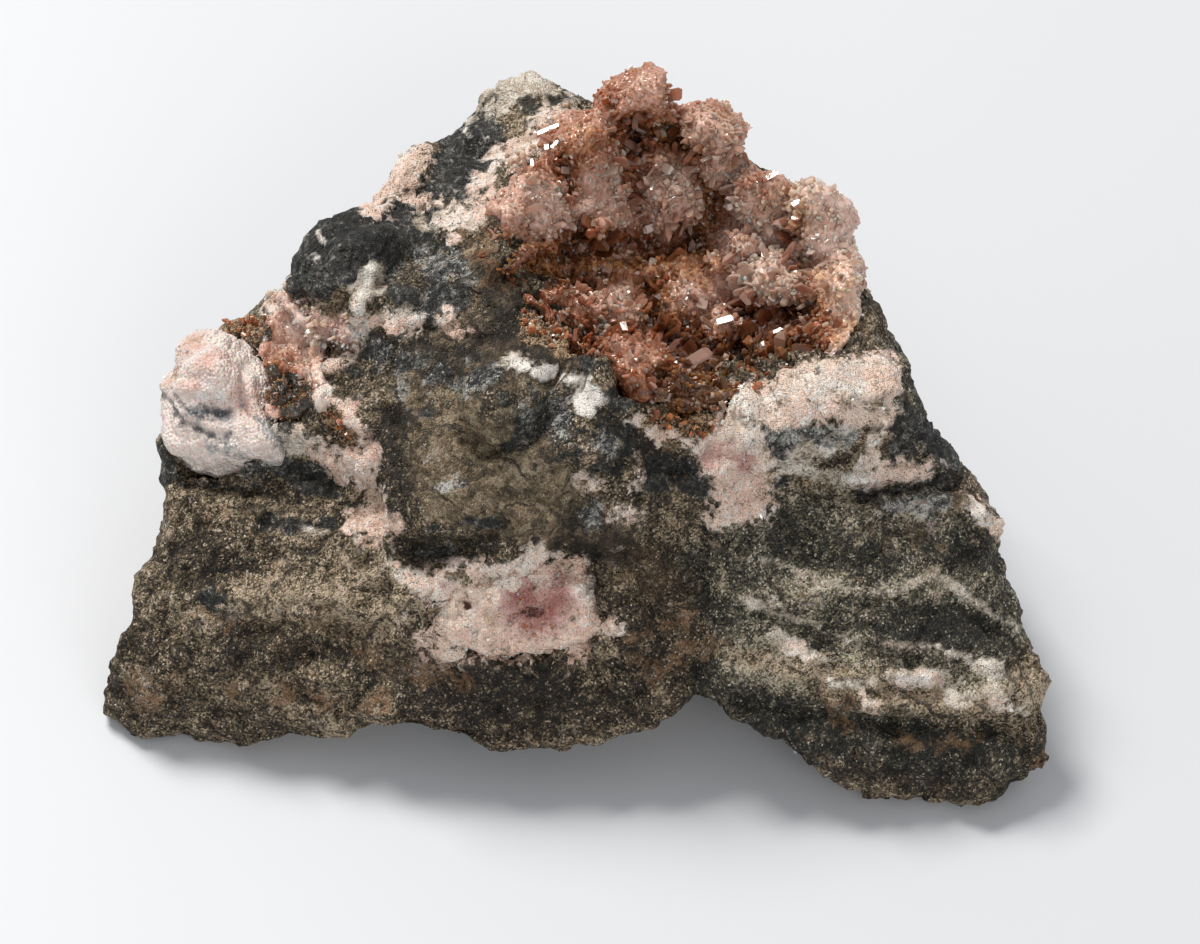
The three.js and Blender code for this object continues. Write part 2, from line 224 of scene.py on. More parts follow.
CREAM = [
    (1.7, (-8.8, 31.8), (-6.8, 32.8), (-4.8, 33)),
    (0.7, (-11.6, 30.2), (-10, 31.4)),
    (0.7, (-3.6, 30.4), (-2.6, 31.6)),
    (0.5, (14.9, -13.8), (16.4, -15), (18.6, -16)),
    (0.5, (25, -17.5), (28.4, -17.3)), (0.45, (22.2, -19.2), (23.2, -19.5)),
    (0.4, (31.4, -16.2), (33.6, -16.4)), (0.5, (33.4, -18.6), (35.8, -20.2)),
    (0.35, (29.6, -19), (31.6, -19.4)), (0.45, (19.4, -17.4), (21, -18.2), (23, -18)),
    (0.6, (-12.6, -14), (-14.8, -13.8)),
    (0.7, (-15.4, -9.4), (-18, -7.6)),
    (0.7, (-24.6, 10), (-23.7, 7.6), (-23.4, 6.2)),
    (0.5, (-20.2, 14.6), (-20.4, 13.8), (-20.8, 11)),
    (0.5, (-19.4, 13), (-16, 13.2)),
    (0.35, (-7.4, 9.4), (-4.6, 8.4), (-0.8, 7)),
    (0.9, (-27, 3), (-25.6, 2.6)), (0.95, (-19.9, 15.6), (-20.4, 13.8), (-20.7, 11.8)),
    (0.6, (-19.3, 17), (-19.9, 15.6)), (1.0, (-13.2, 21.2), (-10.4, 21.4)), (0.5, (-15.2, 20.9), (-14, 20.7)),
    (0.5, (-18.4, 13), (-16, 12.6)), (0.5, (15.4, 0.2), (20.6, -0.4)), (0.5, (17, 1.6), (19.4, 1.4)),
]
# Thin cream veins in the rock.
VEINS = [
    (0.2, (14, -7.4), (17, -8.5), (20, -9.6), (23, -10.5), (25, -10), (27, -9.5)),
    (0.4, (16.8, -8.2), (19.6, -9.4)), (0.45, (25.8, -9.5), (27.4, -9.1)),
    (0.26, (28.4, -8.4), (30.4, -10.3), (33, -11.8), (35.6, -13.3)),
    (0.2, (12, -10.8), (15, -12), (18, -13), (21.6, -14.8)),
    (0.26, (24, -14.4), (28, -14.8), (31, -15.6)), (0.2, (14.4, -10.6), (16, -11.8)),
    (0.24, (-17.8, -6), (-17.2, -8.4), (-14.6, -9.8)), (0.2, (-25.6, -4.6), (-23.6, -5.2)),
]
# Chalky white streaks and spots.
WHITE = [
    (0.2, (-7.8, 9.5), (-6.6, 9)), (0.45, (-6.6, 9), (-4.6, 8.4), (-2.4, 7.6), (-0.6, 7)),
    (0.8, (-1.3, 6.4), (-1, 5.6)), (0.3, (-0.4, 6.6), (0.4, 6.1)), (0.25, (-19.2, 17.4), (-20, 15.4)),
    (0.6, (-20.3, 13.8), (-20.8, 11.6)), (0.3, (17, 4), (18, 4.2)), (0.3, (20, 3.4), (21.5, 3.8)),
    (0.25, (18.4, 2), (19.6, 1.8)), (0.3, (25.6, -17.7), (27.4, -17.4)), (0.35, (-23.6, 9.4), (-23.4, 7)),
    (0.3, (11.8, 5.6), (16, 6.8), (22, 7.4)), (0.4, (20.8, -0.2), (22.6, -0.6)),
    (0.35, (32, -3.6), (33, -4.4)),
    (0.3, (-15, 20.9), (-14.2, 20.7)), (0.2, (-23.8, 20.2), (-23.4, 19.4)), (0.25, (-11.4, 29), (-11, 28.8)),
    (0.2, (-10, 28.8), (-9.8, 28.6)), (0.25, (-24.2, 18.4), (-24, 18.2)),
]
# Dark bands round the cream knob at the top.
KNOB_BANDS = [
    (0.45, (-6.4, 31.4), (-5.2, 31.3)), (0.5, (-4.2, 31.6), (-2.8, 31)), (0.35, (-10.4, 30.8), (-9, 31.6)),
]
# Darker rock, and painted shade on the down-facing bevels along the bottom and in creases; both lower the
# rock's lightness.
DARK_ROCK_AND_SHADE = [
    (2.4, (-10, 16), (-7, 13)), (1.2, (-17.6, 15.4), (-14.6, 15.6)),
    (3.4, (-12, 13.6), (-8, 12.4), (-3.4, 10.6)), (1.8, (-13, 16), (-10, 17)), (3, (-10, -18), (4, -19)),
    (2.0, (6, -8), (8.6, -12), (8.2, -15.4)), (1.6, (0.4, -9.6), (1.6, -11)), (1.6, (-15, 10.4), (-13, 8.8)),
    (2.2, (-30, -15), (-24, -14), (-15, -18)),
    (2.2, (-34, -7), (-29, -7)),
    (2.4, (-17, 11), (-9, 10)),
    (1.6, (-17.6, 4), (-17.2, -3)),
    (2.5, (4, -14), (6, -18)),
    (2.5, (-8, -18), (2, -19)),
    (2.6, (-1, -6), (3, -9), (6, -13)),
    (1.6, (-15, -6.6), (-10, -7)),
    (0.8, (26.6, -5.6), (33, -7.4)),
    (2.4, (10, -19.6), (18, -23), (30, -25.5), (38, -25)),
    (1.5, (20, -22.4), (30, -23), (38, -23.6)),
    (1.6, (24, -12.6), (34, -14.4)),
    (1.4, (16, -6.4), (24, -7.6)),
    (1.6, (26, 5), (30, 1.4)),
    (0.9, (-30, -2.2), (-24, -1.8)),
    (1.2, (-28, 7.6), (-26.4, 4.6)),
    (1.0, (0.6, 4.6), (5, 1.6)),
]

# The lining of the hollow: pale cushions of crystals, and the deep red-brown gaps between them.
CUSHIONS = [
    (2.5, (-7, 23.4), (-5, 22.4)), (1.4, (-5.6, 20.8), (-4.8, 20)), (1.6, (-0.8, 25.2), (1.2, 25.4)),
    (1.3, (-1.4, 22.4), (0.8, 22.2)), (2.1, (5.4, 24), (6.2, 23.2)), (1.7, (-2.8, 30), (-0.8, 29.6)),
    (1.6, (2.6, 32.2), (4.6, 33)), (1.7, (9, 29.6), (10.4, 29)), (1.4, (10.4, 25.6), (11.4, 25)),
    (3.0, (13, 18), (15, 17.6)), (2.7, (18.6, 22.4), (20.2, 20.6)), (1.9, (12.6, 22.8), (14.6, 22.4)),
    (1.3, (1.4, 14.4), (1.8, 13.6)), (2.0, (2, 10.8), (3.6, 8.4)), (0.9, (7, 15), (9, 15.2)),
    (0.8, (10.4, 12.6), (11.4, 12.2)), (1.9, (20.6, 18.8), (21.2, 15.6)), (1.0, (5.4, 20.8), (6, 20.4)),
    (1.2, (17.6, 18.6), (18.4, 16.4)),
]
GAPS = [
    (1.0, (3, 29.6), (3, 24.6)), (1.0, (5.4, 28.6), (8, 26.6)), (1.3, (-4.4, 19.2), (2, 19.2), (8.6, 19.6)),
    (1.0, (-3.6, 17), (0, 16.4)), (0.9, (4.4, 15.6), (5.4, 13)), (2.2, (6.8, 10.8), (9.2, 9)),
    (2.4, (5.6, 6.6), (10.6, 6.6)), (1.5, (12, 10.2), (20.4, 9.4)), (1.2, (8.8, 24), (9.6, 21)),
    (0.8, (16.4, 20.4), (17, 16.2)), (0.9, (-3, 26), (-2.6, 23.6)), (0.7, (3.4, 12), (-0.6, 12)),
    (1.0, (13, 14), (17, 13.6)), (1.5, (-8, 18.2), (-5.4, 17.6)),
]
AMBER_LEFT = (1.0, (-8.4, 18.9), (-6, 18.3), (-3.6, 17.7))  # lighter than the other amber spots
AMBER = [
    (1.9, (19.2, 15.6), (20.8, 12.6), (20.6, 10)), (0.9, (13, 9.6), (18.6, 9.8)),
    AMBER_LEFT, (0.8, (4.4, 15), (5.6, 13.8)), (0.9, (15.4, 23.4), (17.4, 21)),
    (0.9, (-2, 17.4), (9, 17.2)), (0.8, (5.4, 29), (7.4, 27)), (0.8, (-2.8, 28.6), (-1.6, 28)),
    (0.8, (8.6, 23.2), (9.4, 20.8)),
]
SPILL = [(1.4, (5.6, 5.6), (9, 4.4), (12, 5))]
CRUMBLY_EDGE = [
    (1.9, (-10.4, 19.6), (-9, 15.8), (-6, 12.6), (-3, 10.4), (-1.6, 7.6)),
    (2.0, (-9.6, 14.6), (-6.6, 11.8)),
    (1.3, (-4, 12.6), (-1.4, 8.6)), (0.8, (-1.2, 10.6), (-1, 8.8)),
]

# Where the lining dips behind the rock.
LINING_HIDDEN = [
    (1.7, (24.4, 17), (24.6, 11)), (1.2, (-11, 17), (-10.6, 14)), (1.3, (0.4, 5.6), (3.8, 4.6)),
    (0.9, (1.4, 6.7), (2, 6.4)),
]

# Large blades that lie flat to the light: (u, v, length, width, turn in degrees).
BRIGHT_BLADES = [
    (10.6, 12.9, 1.4, 0.6, 14), (15.1, 11.9, 0.8, 0.3, 30), (14.1, 25, 2.0, 0.45, 32),
    (-4.4, 29, 2.0, 0.4, 24), (-4.6, 27.7, 0.9, 0.4, 100), (-3.8, 27.6, 0.9, 0.3, 60),
    (4.3, 24.3, 0.9, 0.28, 80), (0.6, 25.4, 1.7, 0.8, 8), (6.2, 24.9, 0.5, 0.2, 70),
    (22.2, 7.8, 1.3, 0.4, -20), (19.6, 7.3, 0.9, 0.28, 75), (18.6, 7.5, 0.8, 0.25, 95),
    (3.6, 16, 0.4, 0.25, 20), (16.6, 22.8, 0.8, 0.5, 30), (-5.8, 26.4, 0.3, 0.8, 5),
    (12.2, 9.6, 0.25, 0.6, 10), (9.2, 26.6, 1.4, 0.3, 32), (8, 25.8, 1.2, 0.25, 48),
]

# Places on the rock, outside the hollow, where crystals have grown as well.
DRUSY_SPOTS = [
    (0.8, (-7.4, 26), (-5.4, 28.2), (-2.8, 30.4)),
    (1.5, (-26, 13), (-23.6, 12.4), (-21.6, 12)),
    (1.0, (-27.4, 14.6), (-26.4, 12.4)),
    (1.1, (5.8, 5), (8.8, 4.2)), (0.6, (-20.6, 13), (-20.8, 11.4)),
    (0.8, (10, 5), (12, 5.6)),
]
BROWN_DRUSE = [
    (0.9, (-31.2, 12), (-29, 12.4)),
    (0.8, (-22.8, 4.6), (-21.4, 2.6)),
    (1.2, (-6.4, 12.6), (-3.6, 11)), (1.2, (4.4, 4.9), (6.6, 4.4), (8.6, 3.6)),
]
# Where the rock's rim stands up over the edge of the lining.
RIM_FOLD = [(1.8, (12.6, 5.4), (16, 6), (20, 6.4), (25, 7))]
# Places moved a little in the front view: (right in mm, up in mm, half width, point, point, ...).
ROCK_NUDGES = [
    (0.4, 0, 3, (-38.5, 3), (-37.6, -2)), (1.4, 0, 3, (-38.4, -4), (-40.4, -11)),
    (0.5, -0.9, 3, (-28, 18), (-24, 22.5), (-19, 24.6)), (0.7, -0.7, 2.4, (-19, 26.6), (-15, 30)),
    (-1.2, 0, 3, (34.6, -7), (36.4, -12)), (-0.8, 0, 3, (38, -15), (39, -18), (39, -26)),
]
LINING_NUDGES = [
    (-1.0, 0.3, 1.4, (6.4, 33.8), (6.8, 32)), (-0.8, -0.4, 1.3, (13, 27.6), (12.8, 30.6), (9, 32)),
    (0, -0.8, 1.4, (13.8, 26.4), (19.4, 25)), (0.6, 0.2, 1.7, (21.8, 23), (22, 18)),
    (0.5, -0.5, 1.4, (-0.4, 33.6), (1.6, 34.4)), (-1.4, 0, 1.6, (24, 16.4), (24.4, 12)),
    (-0.5, 0.6, 1.0, (-0.8, 31.4), (0.2, 32)), (0.3, 0.25, 1.2, (3.4, 34.6), (4.8, 34.6)),
]
NODULE_NUDGES = [
    (0.1, -0.6, 1.7, (-35.8, 1.2), (-34.4, 0.2)), (0.7, 0.5, 1.2, (-37.8, 1), (-37, 0)),
    (1.3, -1.2, 1.7, (-30.6, 0.4), (-28, 1.6)), (0, 0.9, 1.4, (-33.2, -0.8), (-32, -0.8)),
    (0.9, 0, 1.3, (-38.6, 8), (-38, 9.4)),
    (0.6, -0.3, 1.3, (-28.4, 3.4), (-28, 5)), (-0.5, -0.3, 1.3, (-28.2, 8.4), (-30, 10.4)),
]

# Relief on the rock: (depth in mm, half width, point, point, ...); a negative depth is a cut.
RELIEF = [
    (-0.9, 0.6, (-36, -0.8), (-33, -1.2), (-30, -1.2), (-28, -0.8), (-26, 0.2), (-23, -0.6)),
    (-0.6, 0.5, (-29, -4.4), (-26, -4.7), (-22.4, -4.2)),
    (-1.4, 0.6, (21.8, -2), (24.5, -1.5), (26.5, -1.1), (28.5, -0.7), (30, -1.3)),
    (0.7, 0.9, (21.4, -0.4), (24, 0), (27, 0.4)),
    (-0.8, 0.7, (-26.6, 14.6), (-23.4, 13.6), (-20.8, 15.2), (-18.6, 16.6)),
    (-0.7, 0.7, (-18.2, 16.8), (-15.8, 18.4), (-14.6, 20.6), (-15.6, 22.6)),
    (-0.9, 1.1, (8.2, -5), (8, -9), (8.4, -13), (7.6, -17)),
    (0.5, 1.2, (0.8, -9.6), (1.6, -11)),
    (-0.5, 0.5, (-4, -7.2), (0, -7), (3, -6.6)),
    (-0.5, 0.35, (24.4, 6.5), (24.6, 5.8)),
    (-0.6, 0.8, (5, 0.4), (8.6, -0.8)),
    (0.8, 1.4, (-24.4, 10), (-23.4, 6.6)),
    (0.5, 0.8, (-20.4, -1), (-19, -4)),
    (-0.6, 0.8, (-22.6, 4.6), (-21, 2.4)),
    (0.5, 0.7, (-6.6, 8.4), (-2.4, 7.6), (-1, 6.2)),
    (-0.7, 0.8, (1.4, 6.5), (1.8, 6.4)),
    (-0.6, 0.6, (-1.3, 10.4), (-1.1, 8.8)),
    (-0.6, 0.6, (-12.6, 8), (-12.4, 4), (-9.4, 1.6), (-5.4, 2.4), (-4, 5.4)),
    (1.0, 2.8, (-8.8, 6), (-8, 5.4)),
    (-0.9, 0.55, (-4.4, 7.2), (-4.2, 5), (-5.4, 2.8), (-8, 1.5), (-10.6, 2), (-12.6, 4.4)),
    (-0.6, 0.5, (-16.4, -6.4), (-12, -6.6), (-8, -4.4)),
    (0.5, 0.7, (-16, 5), (-15.6, -2), (-14, -5)),
    (-0.7, 0.5, (-17.8, 10.6), (-17.6, 4), (-17, -2)),
    (-0.8, 0.6, (9, -19), (14, -20.2), (20, -21), (30, -21.6), (35, -21.6)),
    (0.6, 1.1, (20, -19.6), (28, -20), (34, -20)),
    (-0.9, 0.6, (24.6, -21), (26, -24)),
    (-0.6, 0.6, (-31, -14), (-27, -13), (-22, -13.4)),
    (0.5, 1.2, (-31, -11), (-24, -10.4), (-19, -12)),
    (-0.6, 0.7, (-26, -19), (-26.6, -15.6)),
    (-0.7, 0.6, (-12, -15), (-8, -15.6), (-2, -15.4), (2, -14)),
    (0.6, 1.0, (-10, -17), (-4, -17.6)),
    (-0.5, 0.5, (13.4, -11.8), (18, -13.6), (23, -15.4), (29, -16.8)),
    (0.5, 0.9, (22, -17.4), (28, -17.2)),
    (0.6, 1.2, (31, -18.4), (36, -18.8)),
    (0.5, 1.0, (30, -15.8), (34, -15.6)),
    (-0.6, 0.5, (28.6, -17), (28.4, -19.4)), (0.5, 0.9, (22, -19), (23.6, -19.6)),
    (-0.7, 0.6, (20.8, -17), (21, -19.4)), (-0.6, 0.5, (24.4, -18.4), (30, -18.4)),
    (0.8, 0.5, (-19.2, 17), (-20.4, 14), (-20.8, 11.6)),
    (0.5, 1.5, (26, 3.4), (28, 1.6)),
    (-0.3, 0.5, (14, 1.4), (18, 0.6), (21, 1)),
    (0.4, 1.2, (16, 3.2), (21, 3.4)),
    (0.7, 1.2, (-22, 18.6), (-18.4, 20)),
    (-0.7, 0.5, (-17, 12), (-13, 12.4), (-9.4, 10.8)),
    (0.6, 1.1, (-17, 15), (-15.6, 15)),
    (0.5, 0.9, (-13.4, 16.8), (-11.4, 17)),
    (-0.6, 0.5, (-15, 16.4), (-14.4, 14)),
    (0.5, 1.0, (-12.4, 26.4), (-11, 25.6)),
    (0.5, 0.9, (-11.4, 28.2), (-10, 28.6)),
    (-0.6, 0.5, (-13.8, 27.4), (-9.6, 26.8)),
]


# ------------------------------------------------------------------ noise
def corner_value(i, j, k, seed):
    """A repeatable number from 0 to 1 for each corner of a grid."""
    h = (i * 374761393 + j * 668265263 + k * 1274126177 + seed * 974634777) & 0xFFFFFFFF
    h = ((h ^ (h >> 13)) * 1274126177) & 0xFFFFFFFF
    return ((h ^ (h >> 16)) & 0xFFFFFF) / 0xFFFFFF


# Axes at odd angles, so that facets don't line up with the view.
SKEWED = np.array([[0.84, 0.36, -0.4], [-0.12, 0.85, 0.51], [0.53, -0.38, 0.76]])


def noise(points, size, seed=0):
    """Smooth noise from -1 to 1 with features about `size` across."""
    p = points / size
    base = np.floor(p).astype(np.int64)
    f = p - base
    f = f * f * (3 - 2 * f)
    total = 0
    for corner in range(8):
        a, b, c = corner & 1, corner >> 1 & 1, corner >> 2 & 1
        weight = np.prod(np.where([a, b, c], f, 1 - f), axis=1)
        total = total + weight * corner_value(base[:, 0] + a, base[:, 1] + b, base[:, 2] + c, seed)
    return 2 * total - 1


def rough(points, size, octaves, seed=0, falloff=0.5):
    """Noise with features about `size` across, and finer and weaker octaves on top."""
    total, strength = 0, 1.0
    for octave in range(octaves):
        total = total + strength * noise(points, size * 0.5**octave, seed + octave)
        strength *= falloff
    return total


def cells(points, size, seed=0, angular=False):
    """Distance to the nearest of scattered seeds, and that seed's number from 0 to 1.

    Angular distances give flat facets that meet in creases; plain ones give round bumps.
    """
    p = points / size
    base = np.floor(p).astype(np.int64)
    near = np.full(len(p), 9.0)
    number = np.zeros(len(p))
    for corner in range(27):
        c = base + np.array([corner % 3, corner // 3 % 3, corner // 9]) - 1
        spot = np.stack([corner_value(*c.T, seed + axis) for axis in range(3)], 1)
        gap = c + spot - p
        d = np.abs(gap @ SKEWED).sum(axis=1) * 0.7 if angular else np.linalg.norm(gap, axis=1)
        closer = d < near
        number = np.where(closer, corner_value(*c.T, seed + 7), number)
        near = np.where(closer, d, near)
    return near * size, number


def smoothstep(low, high, x):
    t = np.clip((x - low) / (high - low), 0, 1)
    return t * t * (3 - 2 * t)


# ------------------------------------------------------------------ surfaces
def placed(name, data):
    """A new object in the scene."""
    made = bpy.data.objects.new(name, data)
    bpy.context.scene.collection.objects.link(made)
    return made


def mark(mesh, **values):
    """Gives a mesh attributes that are the same all over it."""
    for label, value in values.items():
        layer = mesh.attributes.new(label, "FLOAT", "POINT")
        layer.data.foreach_set("value", [value] * len(mesh.vertices))


class Surface:
    """A closed mesh as arrays, in millimetres."""

    def __init__(self, mesh):
        self.points = np.empty(len(mesh.vertices) * 3)
        mesh.vertices.foreach_get("co", self.points)
        self.points = self.points.reshape(-1, 3)
        self.edges = np.empty(len(mesh.edges) * 2, int)
        mesh.edges.foreach_get("vertices", self.edges)
        self.edges = self.edges.reshape(-1, 2)
        self.mesh = mesh
        self.masks = {}

    def normals(self):
        self.mesh.vertices.foreach_set("co", self.points.ravel())
        self.mesh.update()
        out = np.empty(len(self.points) * 3)
        self.mesh.vertex_normals.foreach_get("vector", out)
        return out.reshape(-1, 3)

    def average(self, values):
        """Each vertex's mean over its neighbours."""
        a, b = self.edges.T
        count = np.bincount(a, minlength=len(values)) + np.bincount(b, minlength=len(values))
        columns = values.reshape(len(values), -1).T
        sums = [np.bincount(a, c[b], len(c)) + np.bincount(b, c[a], len(c)) for c in columns]
        return (np.stack(sums, 1) / count[:, None]).reshape(values.shape)

    def smooth(self, rounds, share=0.6):
        for _ in range(rounds):
            self.points += share * (self.average(self.points) - self.points)

    def push(self, height):
        """Moves the surface along its normals by a height at each vertex."""
        self.points += self.normals() * np.asarray(height)[:, None]

    def front_view(self):
        """Where each vertex is seen from the front (u, v), and how squarely it faces the front."""
        q = self.points - EYE
        depth = q @ AWAY
        uv = np.stack([q @ ACROSS, q @ UPWARD], 1) * (STAND_OFF / depth)[:, None]
        toward = -q / np.linalg.norm(q, axis=1)[:, None]
        return uv, np.einsum("ij,ij->i", self.normals(), toward)

    def finish(self, name):
        """A Blender object in metres, with its masks as attributes."""
        self.mesh.vertices.foreach_set("co", (self.points * MM).ravel())
        for mask, values in self.masks.items():
            layer = self.mesh.attributes.new(mask, "FLOAT", "POINT")
            layer.data.foreach_set("value", values.astype(np.float32))
        self.mesh.polygons.foreach_set("use_smooth", np.ones(len(self.mesh.polygons), bool))
        self.mesh.update()
        return placed(name, self.mesh)


def evaluated_mesh(piece):
    graph = bpy.context.evaluated_depsgraph_get()
    return bpy.data.meshes.new_from_object(piece.evaluated_get(graph))


def skin_of(node, voxel):
    """The surface of a CAD node drawn again in even squares of `voxel` mm."""
    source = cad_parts[node].data
    work = bmesh.new()
    work.from_mesh(source)
    bmesh.ops.scale(work, vec=(1 / MM, 1 / MM, 1 / MM), verts=work.verts)
    bmesh.ops.remove_doubles(work, verts=work.verts, dist=0.001)
    merged = bpy.data.meshes.new(node + " merged")
    work.to_mesh(merged)
    work.free()
    form = placed(node + " form", merged)
    remesh = form.modifiers.new("even squares", "REMESH")
    remesh.mode = "VOXEL"
    remesh.voxel_size = voxel
    mesh = evaluated_mesh(form)
    bpy.data.objects.remove(form)
    bpy.data.meshes.remove(merged)
    return Surface(mesh)


def inside(uv, strokes):
    """How far each point of the front view lies inside the strokes, in mm; negative is outside."""
    best = np.full(len(uv), -99.0)
    for half_width, *route in strokes:
        route = np.array(route, float)
        for start, end in zip(route, route[1:]):
            along = end - start
            t = np.clip((uv - start) @ along / (along @ along), 0, 1)
            d = np.linalg.norm(uv - start - t[:, None] * along, axis=1)
            best = np.maximum(best, half_width - d)
    return best


ZONE_EDGE = 1.0  # mm each side of a stroke's outline over which its mask runs from 0 to 1


def soft_edged(uv, strokes, edge=ZONE_EDGE):
    """A mask that runs from 0 to 1 over `edge` mm each side of the strokes' outlines."""
    return np.clip(0.5 + inside(uv, strokes) / (2 * edge), 0, 1)


def zone(uv, facing, strokes):
    """A soft-edged mask that is 0 on what faces away."""
    return soft_edged(uv, strokes) * smoothstep(-0.45, -0.2, facing)


def carved(uv, strokes):
    """The height at each point from strokes that each carry a depth; soft at their sides."""
    height = np.zeros(len(uv))
    for depth, half_width, *route in strokes:
        d = half_width - inside(uv, [(half_width, *route)])
        height += depth * np.exp(-((d / half_width) ** 2))
    return height


def nudged(points, uv, nudges):
    """Shifts points in the front view, softly, near each stroke; edges move without folding over."""
    shift = np.zeros_like(points)
    for right, up, half_width, *route in nudges:
        d = half_width - inside(uv, [(half_width, *route)])
        share = np.exp(-((d / half_width) ** 2))
        shift += share[:, None] * (right * ACROSS + up * UPWARD)
    return points + shift


def dome(distance, reach):
    """A round bump from 0 to 1 over a distance to its middle."""
    return np.sqrt(np.clip(1 - (distance / reach) ** 2, 0, 1))


def skirt(points, middle, radii, width):
    """1 on an ellipsoid, falling to 0 over `width` of its own radius outside it."""
    near = np.linalg.norm((points - middle) / radii, axis=1)
    return np.exp(-((np.maximum(near - 1, 0) / width) ** 2))


def toward_hollow(points):
    """The direction from each point to the hollow's middle."""
    gap = HOLLOW_MIDDLE - points
    return gap / np.linalg.norm(gap, axis=1)[:, None]


def beyond_hollow(points):
    """Distance in mm outside the hollow's own ellipsoid, roughly; negative inside it."""
    reach = np.linalg.norm((points - HOLLOW_MIDDLE) / HOLLOW_RADII, axis=1)
    return (reach - 1) * HOLLOW_REACH


def wander(points, uv, reach=0.42, size=1.1):
    """The front view shifted a little from place to place, so that zones get ragged edges."""
    shift = np.stack([rough(points, size, 3, 31, 0.6), rough(points, size, 3, 47, 0.6)], 1)
    return uv + reach * shift


def bare_skin(node, voxel, rounds, reach, size):
    """A node's smoothed surface, its points as they stand, and how they are seen from the front."""
    skin = skin_of(node, voxel)
    skin.smooth(rounds)
    flat = skin.points.copy()
    uv, facing = skin.front_view()
    return skin, flat, wander(flat, uv, reach, size), facing


# ------------------------------------------------------------------ shader helpers
def add(tree, kind, settings=None, **inputs):
    """Adds a node. An input is a plain value or another node's output; `_` stands for a space."""
    made = tree.nodes.new(kind)
    for key, value in (settings or {}).items():
        setattr(made, key, value)
    for key, value in inputs.items():
        connect(tree, value, made.inputs[key.replace("_", " ")])
    return made


def connect(tree, value, socket):
    if isinstance(value, bpy.types.NodeSocket):
        tree.links.new(value, socket)
    else:
        socket.default_value = value


def calc(tree, operation, a, b=0.0, clamp=False):
    made = tree.nodes.new("ShaderNodeMath")
    made.operation = operation
    made.use_clamp = clamp
    connect(tree, a, made.inputs[0])
    connect(tree, b, made.inputs[1])
    return made.outputs[0]


def plus(tree, a, b):
    return calc(tree, "ADD", a, b)


def minus(tree, a, b):
    return calc(tree, "SUBTRACT", a, b)


def times(tree, a, b):
    return calc(tree, "MULTIPLY", a, b)


def vector_calc(tree, operation, a, b=(0, 0, 0), scale=None):
    made = tree.nodes.new("ShaderNodeVectorMath")
    made.operation = operation
    connect(tree, a, made.inputs[0])
    if scale is None:
        connect(tree, b, made.inputs[1])
    else:
        connect(tree, scale, made.inputs["Scale"])
    return made.outputs[0]


def blend(tree, share, a, b, how="MIX"):
    """Mixes two colours."""
    made = tree.nodes.new("ShaderNodeMix")
    made.data_type = "RGBA"
    made.blend_type = how
    connect(tree, share, made.inputs[0])
    connect(tree, a, made.inputs[6])
    connect(tree, b, made.inputs[7])
    return made.outputs[2]


def between(tree, share, low, high):
    """Mixes two numbers."""
    made = tree.nodes.new("ShaderNodeMix")
    connect(tree, share, made.inputs[0])
    connect(tree, low, made.inputs[2])
    connect(tree, high, made.inputs[3])
    return made.outputs[0]


def steps(tree, value, *stops):
    """A colour ramp: each stop is (position, colour)."""
    made = tree.nodes.new("ShaderNodeValToRGB")
    connect(tree, value, made.inputs[0])
    ramp = made.color_ramp.elements
    while len(ramp) < len(stops):
        ramp.new(0.5)
    for element, (position, colour) in zip(ramp, stops):
        element.position = position
        element.color = colour
    return made.outputs[0]


def span(tree, value, low, high):
    """A number run from 0 at `low` to 1 at `high`, eased at both ends."""
    made = add(tree, "ShaderNodeMapRange", {"interpolation_type": "SMOOTHSTEP"}, Value=value)
    connect(tree, low, made.inputs["From Min"])
    connect(tree, high, made.inputs["From Max"])
    return made.outputs[0]


def swing(tree, value, strength):
    """How far a value is from a half, times a strength."""
    return times(tree, minus(tree, value, 0.5), strength)


def bumped(tree, height, normal, strength, distance):
    """The normal of a surface raised by a height; the distance is in mm."""
    bump = add(tree, "ShaderNodeBump", None, Height=height, Normal=normal)
    bump.inputs["Strength"].default_value = strength
    bump.inputs["Distance"].default_value = distance * MM
    return bump.outputs[0]


def scatter_inside(shader, ior, weight, radius, scale):
    """Lets light scatter inside a crystal; the scale is in mm."""
    shader.inputs["IOR"].default_value = ior
    shader.inputs["Subsurface Weight"].default_value = weight
    shader.inputs["Subsurface Radius"].default_value = radius
    shader.inputs["Subsurface Scale"].default_value = scale * MM


def object_place(tree):
    return tree.nodes.new("ShaderNodeTexCoord").outputs["Object"]


def attribute(tree, name):
    return add(tree, "ShaderNodeAttribute", {"attribute_name": name}).outputs["Fac"]


def cloud(tree, place, size, detail=3.0, roughness=0.55):
    """Noise with features about `size` mm across."""
    made = add(tree, "ShaderNodeTexNoise", None, Vector=place, Scale=0.6 / (size * MM))
    made.inputs["Detail"].default_value = detail
    made.inputs["Roughness"].default_value = roughness
    return made.outputs["Fac"]


def new_group(name, inputs, outputs):
    """A shader node group with named sockets: each is (name, kind, default)."""
    group = bpy.data.node_groups.new(name, "ShaderNodeTree")
    for label, kind, default in inputs:
        socket = group.interface.new_socket(label, in_out="INPUT", socket_type="NodeSocket" + kind)
        if default is not None:
            socket.default_value = default
    for label, kind in outputs:
        group.interface.new_socket(label, in_out="OUTPUT", socket_type="NodeSocket" + kind)
    return group, group.nodes.new("NodeGroupInput").outputs, group.nodes.new("NodeGroupOutput")


def use_group(tree, group, **inputs):
    return add(tree, "ShaderNodeGroup", {"node_tree": group}, **inputs).outputs


